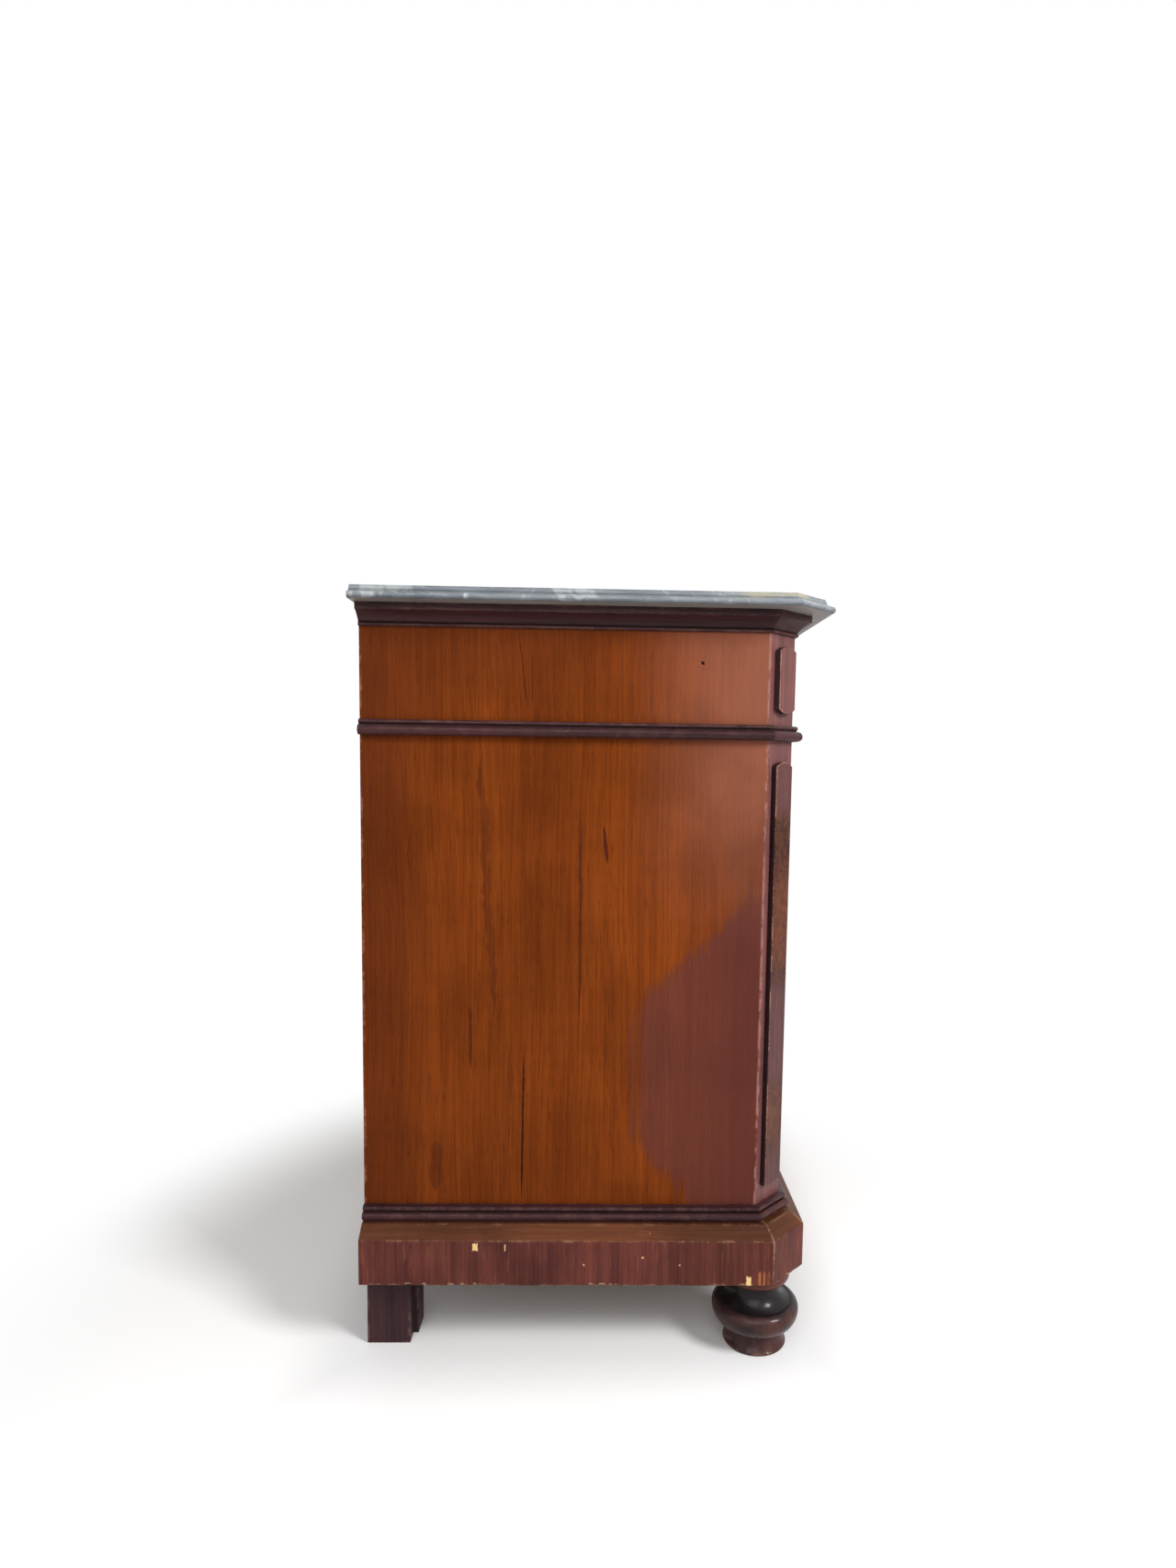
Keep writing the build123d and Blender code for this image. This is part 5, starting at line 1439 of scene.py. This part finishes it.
class CHEST_OT_front_feet(Operator):
    """Turn the two front feet"""

    bl_idname = "chest.front_feet"
    bl_label = "Front feet"

    def execute(self, context):
        f = context.scene.chest_feet
        for name in ("left", "right"):
            low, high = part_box(f"front_foot_{name}")
            centre = ((low.x + high.x) / 2, (low.y + high.y) / 2)
            collar_foot = FOOT_TOP - f.collar_height
            collar_edge = f.collar - 0.003
            flat, half = f.base - f.base_round, DIAGONAL
            lower = (f.waist + half * (f.torus - f.waist), f.torus_height - half * (f.torus_height - f.waist_height))
            upper = (f.rim + half * (f.torus - f.rim), f.torus_height + half * (f.rim_height - f.torus_height))
            widest = (f.torus, f.torus_height)
            loop = outline(
                (0, 0, 0), (flat - 0.004, 0, 0),
                arc((flat, 0), (f.base - (1 - half) * f.base_round, (1 - half) * f.base_round),
                    (f.base, f.base_round), 8),
                arc((f.base, f.base_round), (f.flare, f.flare_height), (f.waist, f.waist_height), 18)[1:-1],
                (f.waist, f.waist_height, 0.001),
                arc((f.waist, f.waist_height), lower, widest, 28)[1:-1],
                arc(widest, upper, (f.rim, f.rim_height), 18)[:-1],
                (f.rim, f.rim_height, 0.0007), (f.rim - 0.003, f.rim_height, 0.0006),
                arc((f.rim - 0.003, f.rim_height), (f.neck + 0.003, (f.rim_height + f.neck_height) / 2),
                    (f.neck, f.neck_height), 24)[1:-1],
                (f.neck, f.neck_height, 0.0008), (f.neck, collar_foot, 0.001), (collar_edge, collar_foot, 0.0006),
                arc((collar_edge, collar_foot), (f.collar, collar_foot + f.collar_height / 2),
                    (collar_edge, FOOT_TOP), 12)[1:],
                (0.008, FOOT_TOP, 0.0004), (0.008, high.z, 0.0004), (0, high.z, 0),
            )
            start = int(np.argmin(np.hypot(*loop.T)))
            profile = np.roll(loop, -start, 0)
            profile = profile[profile[:, 0] > 1e-5]
            piece(
                f"turned_foot_{name}", [turned(profile, centre)], "carcass", [f"front_foot_{name}"],
                [finish("foot", context.scene.chest_wood)], 50.0,
            )
        return {"FINISHED"}


class CHEST_OT_rear_feet(Operator):
    """Make the rear feet and the blocks behind them with eased edges"""

    bl_idname = "chest.rear_feet"
    bl_label = "Rear feet"

    def execute(self, context):
        soft = 0.0012
        stain = finish("block", context.scene.chest_wood)
        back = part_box("plinth_back")[0].y
        blocks = []
        for side, name in zip(SIDES, ("left", "right")):
            low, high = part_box(f"rear_foot_{name}")
            board = [(low.x, low.y), (high.x, low.y), (high.x, high.y), (low.x, high.y)]
            loop = outline(*[(*p, soft) for p in board])
            grid = drawn_out(loop, low.z, high.z, soft, upright, soft_high=False)
            piece(f"foot_board_{name}", [grid], "carcass", [f"rear_foot_{name}"], [stain])
            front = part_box("rear_foot_blocks")[0].y
            outer = high.x if side < 0 else low.x
            inner = outer - side * (high.y - low.y - (high.x - low.x))
            lower = [(inner, front), (outer, front), (outer, high.y), (inner, high.y)]
            upper = [(inner, front), (outer, front), (outer, back), (inner, back)]
            lower, upper = outline(*[(*p, soft) for p in lower]), outline(*[(*p, 0) for p in upper])
            blocks += [
                drawn_out(lower, low.z, high.z, soft, upright, soft_high=False),
                drawn_out(upper, high.z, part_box("rear_foot_blocks")[1].z, 0.0004, upright),
            ]
        piece("foot_blocks", blocks, "carcass", ["rear_foot_blocks"], [stain])
        return {"FINISHED"}


class CHEST_OT_drawers(Operator):
    """Veneer the drawer fronts and give the drawers' boards their plain wood"""

    bl_idname = "chest.drawers"
    bl_label = "Drawers"

    def execute(self, context):
        wood = context.scene.chest_wood
        for number in range(1, 5):
            kinds = {"front": "front", "sides": "drawer_y", "back": "drawer_x", "bottom": "drawer_x"}
            for part, kind in kinds.items():
                dress(f"drawer_{number}_{part}", finish(kind, wood))
        return {"FINISHED"}


def key_shape(f, node, plate_y):
    """A key: a turned shank with two rings, a flat bit, and a bow like a bent oval wire.

    The bow is a circle of wire radius carried round an ellipse; the shank is turned about the key's axis.
    """
    low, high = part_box(node)
    tip, bow_end = high.y, low.y
    axis_z = (low.z + high.z) / 2
    bow_half = (high.z - low.z) / 2
    bow_deep = 0.0095
    bow_y = bow_end + bow_deep
    wire = f.bow_wire
    neck = bow_y + bow_deep - wire
    reach = np.concatenate([
        neck + np.array([0, 0.001, 0.002, 0.0035, 0.005]),
        plate_y - np.array([0.0038, 0.003, 0.0022, 0.0008, 0.0001, 0]), [tip - 0.0004, tip],
    ])
    wide = np.array([f.shank * 0.9, f.shank, 0.0033, 0.0033, f.shank, f.shank, 0.0036, 0.0040, 0.0040, 0.0038,
                     f.shank, f.shank, f.shank * 0.85])
    angle = np.linspace(0, 2 * math.pi, 28, endpoint=False)
    ring_x, ring_z = np.cos(angle)[None] * wide[:, None], np.sin(angle)[None] * wide[:, None]
    shank = np.stack(np.broadcast_arrays(ring_x, reach[:, None], axis_z + ring_z), -1)
    round_it = np.linspace(0, 2 * math.pi, 56, endpoint=False)[:, None]
    pipe = np.linspace(0, 2 * math.pi, 14, endpoint=False)[None]
    swell = wire * (1 - 0.18 * np.cos(round_it) ** 2)
    off = swell * np.cos(pipe)
    bow = np.stack(np.broadcast_arrays(
        swell * np.sin(pipe),
        bow_y - (bow_deep - wire + off) * np.cos(round_it),
        axis_z + (bow_half - wire + off) * np.sin(round_it),
    ), -1)
    bit_y = tip - 0.005
    edges = outline((-0.0009, -0.0074, 0.0002), (0.0009, -0.0074, 0.0002), (0.0009, 0, 0), (-0.0009, 0, 0))
    axes = on_axes((0, bit_y, axis_z), (1, 0, 0), (0, 0, 1), (0, 1, 0))
    bit = drawn_out(edges, 0.0, 0.005, 0.0003, axes)
    return [Grid(shank), Grid(bow, hoop=True), bit]


def plate_shape(f, node, key_z):
    """An escutcheon: rings that run from the pointed oval rim over the eased edge to the keyhole and back."""
    low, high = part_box(node)
    half_high, half_wide = (high.z - low.z) / 2, (high.x - low.x) / 2
    middle = (low.z + high.z) / 2
    right = arc((0, -half_high), (half_wide, 0), (0, half_high), 40)[:-1]
    rim = np.vstack([right, -right])
    rim_angle = np.arctan2(rim[:, 1] + middle - key_z, rim[:, 0])
    radius, slot = 0.0031, 0.0014
    drop = np.clip(rim_angle, -math.pi / 2 - 0.5, -math.pi / 2 + 0.5) + math.pi / 2
    in_slot = np.abs(rim_angle + math.pi / 2) < 0.42
    hole = np.column_stack([radius * np.cos(rim_angle), radius * np.sin(rim_angle)])
    slotted = np.column_stack([slot * np.clip(drop / 0.30, -1, 1), np.full(len(rim), -0.0088)])
    hole = np.where(in_slot[:, None], slotted, hole) + [0, key_z - middle]
    outer = outward(rim)
    soft = f.plate_round
    thick = high.y - low.y
    rows = [
        (rim, 0.0), (rim, thick - soft), (rim - outer * soft * 0.3, thick - soft * 0.3),
        (rim - outer * soft, thick), (rim - outer * soft * 2.2, thick), (rim * 0.35 + hole * 0.65, thick),
        (hole, thick), (hole, 0.0),
    ]
    points = np.stack([
        np.column_stack([flat[:, 0], np.full(len(flat), high.y - up), flat[:, 1] + middle]) for flat, up in rows
    ])
    edge = np.array([0.0, 0.5, 1.0, 0.9, 0.3, 0.0, 0.4, 0.0])[:, None] * np.ones((1, len(rim)))
    return [Grid(points, {"worn": edge}, hoop=True)]


class CHEST_OT_fittings(Operator):
    """Make the keys and escutcheons and give the locks their iron"""

    bl_idname = "chest.fittings"
    bl_label = "Keys, plates and locks"

    def execute(self, context):
        f = context.scene.chest_fittings
        steel, brass, iron = finish("steel", f), finish("brass", f), finish("iron", f)
        for number in range(1, 5):
            key, plate = f"drawer_{number}_key", f"drawer_{number}_escutcheon"
            key_z = sum(corner.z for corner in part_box(key)) / 2
            grids = key_shape(f, key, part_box(plate)[0].y)
            piece(f"key_{number}_wrought", grids, f"key_{number}", [key], [steel], 40.0)
            grids = plate_shape(f, plate, key_z)
            piece(f"plate_{number}", grids, f"drawer_{number}", [plate], [brass], 30.0)
            dress(f"drawer_{number}_lock", iron)
            dress(f"drawer_{number}_bolt", iron)
        return {"FINISHED"}


class CHEST_OT_carcass(Operator):
    """Give the inner carcass its aged wood and nail the back boards"""

    bl_idname = "chest.carcass"
    bl_label = "Carcass"

    def execute(self, context):
        wood, f = context.scene.chest_wood, context.scene.chest_fittings
        for node, kind in (
            ("drawer_rails", "aged_x"), ("top_rails", "aged_x"), ("back_boards", "aged_x"),
            ("bottom_boards", "aged_y"), ("drawer_runners", "aged_y"), ("drawer_stops", "aged_x"),
        ):
            dress(node, finish(kind, wood))
        low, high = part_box("back_boards")
        angle = np.linspace(0, 2 * math.pi, 10, endpoint=False)
        turn = np.linspace(0.05, 1.0, 4)[:, None]
        heads = []
        for board in range(4):
            for share in (0.16, 0.5, 0.84):
                for side in SIDES:
                    z = low.z + (high.z - low.z) * (board + share) / 4
                    x = side * (high.x - 0.006 - 0.002 * ((board + round(10 * share)) % 3))
                    radius = f.nail * np.sin(turn * math.pi / 2)
                    rise = 0.0011 * np.cos(turn * math.pi / 2)
                    points = np.stack(np.broadcast_arrays(
                        x + radius * np.cos(angle), high.y + rise, z + radius * np.sin(angle)), -1)
                    heads.append(Grid(points))
        piece("back_nails", heads, "carcass", [], [finish("iron", f)], 60.0)
        return {"FINISHED"}


class CHEST_OT_stage(Operator):
    """Set the floor, the lamps, the room light and the camera"""

    bl_idname = "chest.stage"
    bl_label = "Stage"

    def execute(self, context):
        s = context.scene.chest_stage
        scene = context.scene
        scene.view_settings.view_transform = "Standard"
        self.lay_floor(scene, s)
        self.light_room(scene, s)
        self.set_camera(scene, s)
        return {"FINISHED"}

    def lay_floor(self, scene, s):
        """A round floor: lit near the chest, with a painted shadow right beside the plinth, and plain white to the
        camera further out.
        """
        angle = np.linspace(0, 2 * math.pi, 64, endpoint=False)
        points = np.column_stack([FLOOR_RADIUS * np.cos(angle), FLOOR_RADIUS * np.sin(angle), np.zeros(64)])
        mesh = bpy.data.meshes.new("floor")
        mesh.from_pydata(points.tolist(), [], [list(range(64))])
        material, n = start_finish("floor_paper")
        vector, x, y, _ = n.place()
        off = n.add("CombineXYZ", {0: n.plus(x, 0.55), 1: n.math("DIVIDE", n.minus(y, 0.1), 0.75)})
        distance = n.add("VectorMath", {0: off.outputs[0]}, operation="LENGTH").outputs["Value"]
        beside = n.minus(n.size(x), PLINTH_HALF_X)
        clear = n.most(beside, n.minus(n.size(y), PLINTH_HALF_Y))
        tint = n.rise(n.noise(vector, 3.0), 0.3, 0.7, 0.985, 1.0)
        shade = n.shade(look(s, "floor_colour"), tint)
        path = n.add("LightPath").outputs
        lit = n.add("BsdfDiffuse", {"Color": shade}).outputs[0]
        # Painted shadow: the camera's extra brightness drops to a quarter right beside the plinth, so the floor looks
        # darker there
        near = n.rise(clear, 0.0, 0.14, 0.25, 1.0)
        lift = n.grey(n.times(n.times(path["Is Camera Ray"], near), s.floor_lift))
        lifted = n.add("AddShader", {0: lit, 1: n.add("BsdfDiffuse", {"Color": lift}).outputs[0]}).outputs[0]
        white = n.add("Emission", {"Color": (1, 1, 1, 1), "Strength": 1.0}).outputs[0]
        fade = n.times(n.rise(distance, 0.66, 1.12), n.rise(clear, 0.03, 0.16))
        seen = n.times(path["Is Camera Ray"], fade)
        both = n.add("MixShader", {0: seen, 1: lifted, 2: white}).outputs[0]
        n.tree.links.new(both, n.add("OutputMaterial").inputs["Surface"])
        mesh.materials.append(material)
        floor = bpy.data.objects.new("floor", mesh)
        scene.collection.objects.link(floor)

    def light_room(self, scene, s):
        """Even room light, a key lamp at the front and a soft fill over the camera."""
        world = bpy.data.worlds.new("room")
        world.use_nodes = True
        world.node_tree.nodes.clear()
        n = Nodes(world.node_tree)
        path = n.add("LightPath").outputs
        seen = n.most(path["Is Camera Ray"], path["Is Transmission Ray"])
        seen = n.most(seen, path["Is Glossy Ray"])
        room = n.add("Background", {"Color": (1, 1, 1, 1), "Strength": s.sky}).outputs[0]
        white = n.add("Background", {"Color": (1, 1, 1, 1), "Strength": 1.0}).outputs[0]
        both = n.add("MixShader", {0: seen, 1: room, 2: white}).outputs[0]
        n.tree.links.new(both, n.add("OutputWorld").inputs["Surface"])
        scene.world = world
        for name, place, aim, size, power in (
            ("key_lamp", (-2.1, -2.1, 2.2), (-0.5, 0.0, 0.4), 0.9, s.key_power),
            ("fill_lamp", (-3.0, 0.4, 2.2), (-0.5, 0.0, 0.5), 2.0, s.fill_power),
        ):
            lamp = bpy.data.lights.new(name, "AREA")
            lamp.shape, lamp.size, lamp.energy = "SQUARE", size, power
            obj = bpy.data.objects.new(name, lamp)
            direction = Vector(aim) - Vector(place)
            obj.matrix_world = Matrix.Translation(place) @ direction.to_track_quat("-Z", "Y").to_matrix().to_4x4()
            scene.collection.objects.link(obj)

    def set_camera(self, scene, s):
        """The photograph's camera: turned by yaw and pitch, rolled, with its shifted middle."""
        yaw, pitch, roll = s.camera_turn
        ahead = Vector((math.cos(pitch) * math.cos(yaw), math.cos(pitch) * math.sin(yaw), -math.sin(pitch)))
        across = Vector((math.sin(yaw), -math.cos(yaw), 0))
        over = across.cross(ahead)
        right = math.cos(roll) * across - math.sin(roll) * over
        up = math.sin(roll) * across + math.cos(roll) * over
        camera = bpy.data.cameras.new("camera")
        camera.sensor_width = SENSOR
        camera.lens = SENSOR * s.focal / PHOTO_HEIGHT
        camera.shift_x = (PHOTO_WIDTH / 2 - s.middle[0]) / PHOTO_HEIGHT
        camera.shift_y = (s.middle[1] - PHOTO_HEIGHT / 2) / PHOTO_HEIGHT
        camera.clip_start, camera.clip_end = 0.05, 60.0
        obj = bpy.data.objects.new("camera", camera)
        turn = Matrix((right, up, -ahead)).transposed().to_4x4()
        obj.matrix_world = Matrix.Translation(s.camera_place) @ turn
        scene.collection.objects.link(obj)
        scene.camera = obj


PIECES = (
    CHEST_OT_marble_top,
    CHEST_OT_mouldings,
    CHEST_OT_plinth,
    CHEST_OT_sides,
    CHEST_OT_corner_panels,
    CHEST_OT_front_feet,
    CHEST_OT_rear_feet,
    CHEST_OT_drawers,
    CHEST_OT_fittings,
    CHEST_OT_carcass,
    CHEST_OT_stage,
)


class CHEST_PT_panel(Panel):
    """Lists the chest's pieces and their settings"""

    bl_idname = "CHEST_PT_panel"
    bl_label = "Chest of drawers"
    bl_space_type = "VIEW_3D"
    bl_region_type = "UI"
    bl_category = "Chest"

    def draw(self, context):
        layout = self.layout
        for operator in PIECES:
            layout.operator(operator.bl_idname)
        for name, group in SETTINGS.items():
            box = layout.box()
            box.label(text=group.__doc__)
            for label in group.__annotations__:
                box.prop(getattr(context.scene, name), label)


def register():
    for group in SETTINGS.values():
        bpy.utils.register_class(group)
    for name, group in SETTINGS.items():
        setattr(bpy.types.Scene, name, PointerProperty(type=group))
    for operator in PIECES:
        bpy.utils.register_class(operator)
    bpy.utils.register_class(CHEST_PT_panel)


def unregister():
    bpy.utils.unregister_class(CHEST_PT_panel)
    for operator in reversed(PIECES):
        bpy.utils.unregister_class(operator)
    for name, group in SETTINGS.items():
        delattr(bpy.types.Scene, name)
        bpy.utils.unregister_class(group)


def main():
    """Registers the classes and makes every piece in order."""
    register()
    for operator in PIECES:
        space, name = operator.bl_idname.split(".")
        getattr(getattr(bpy.ops, space), name)()


if __name__ == "__main__":
    main()
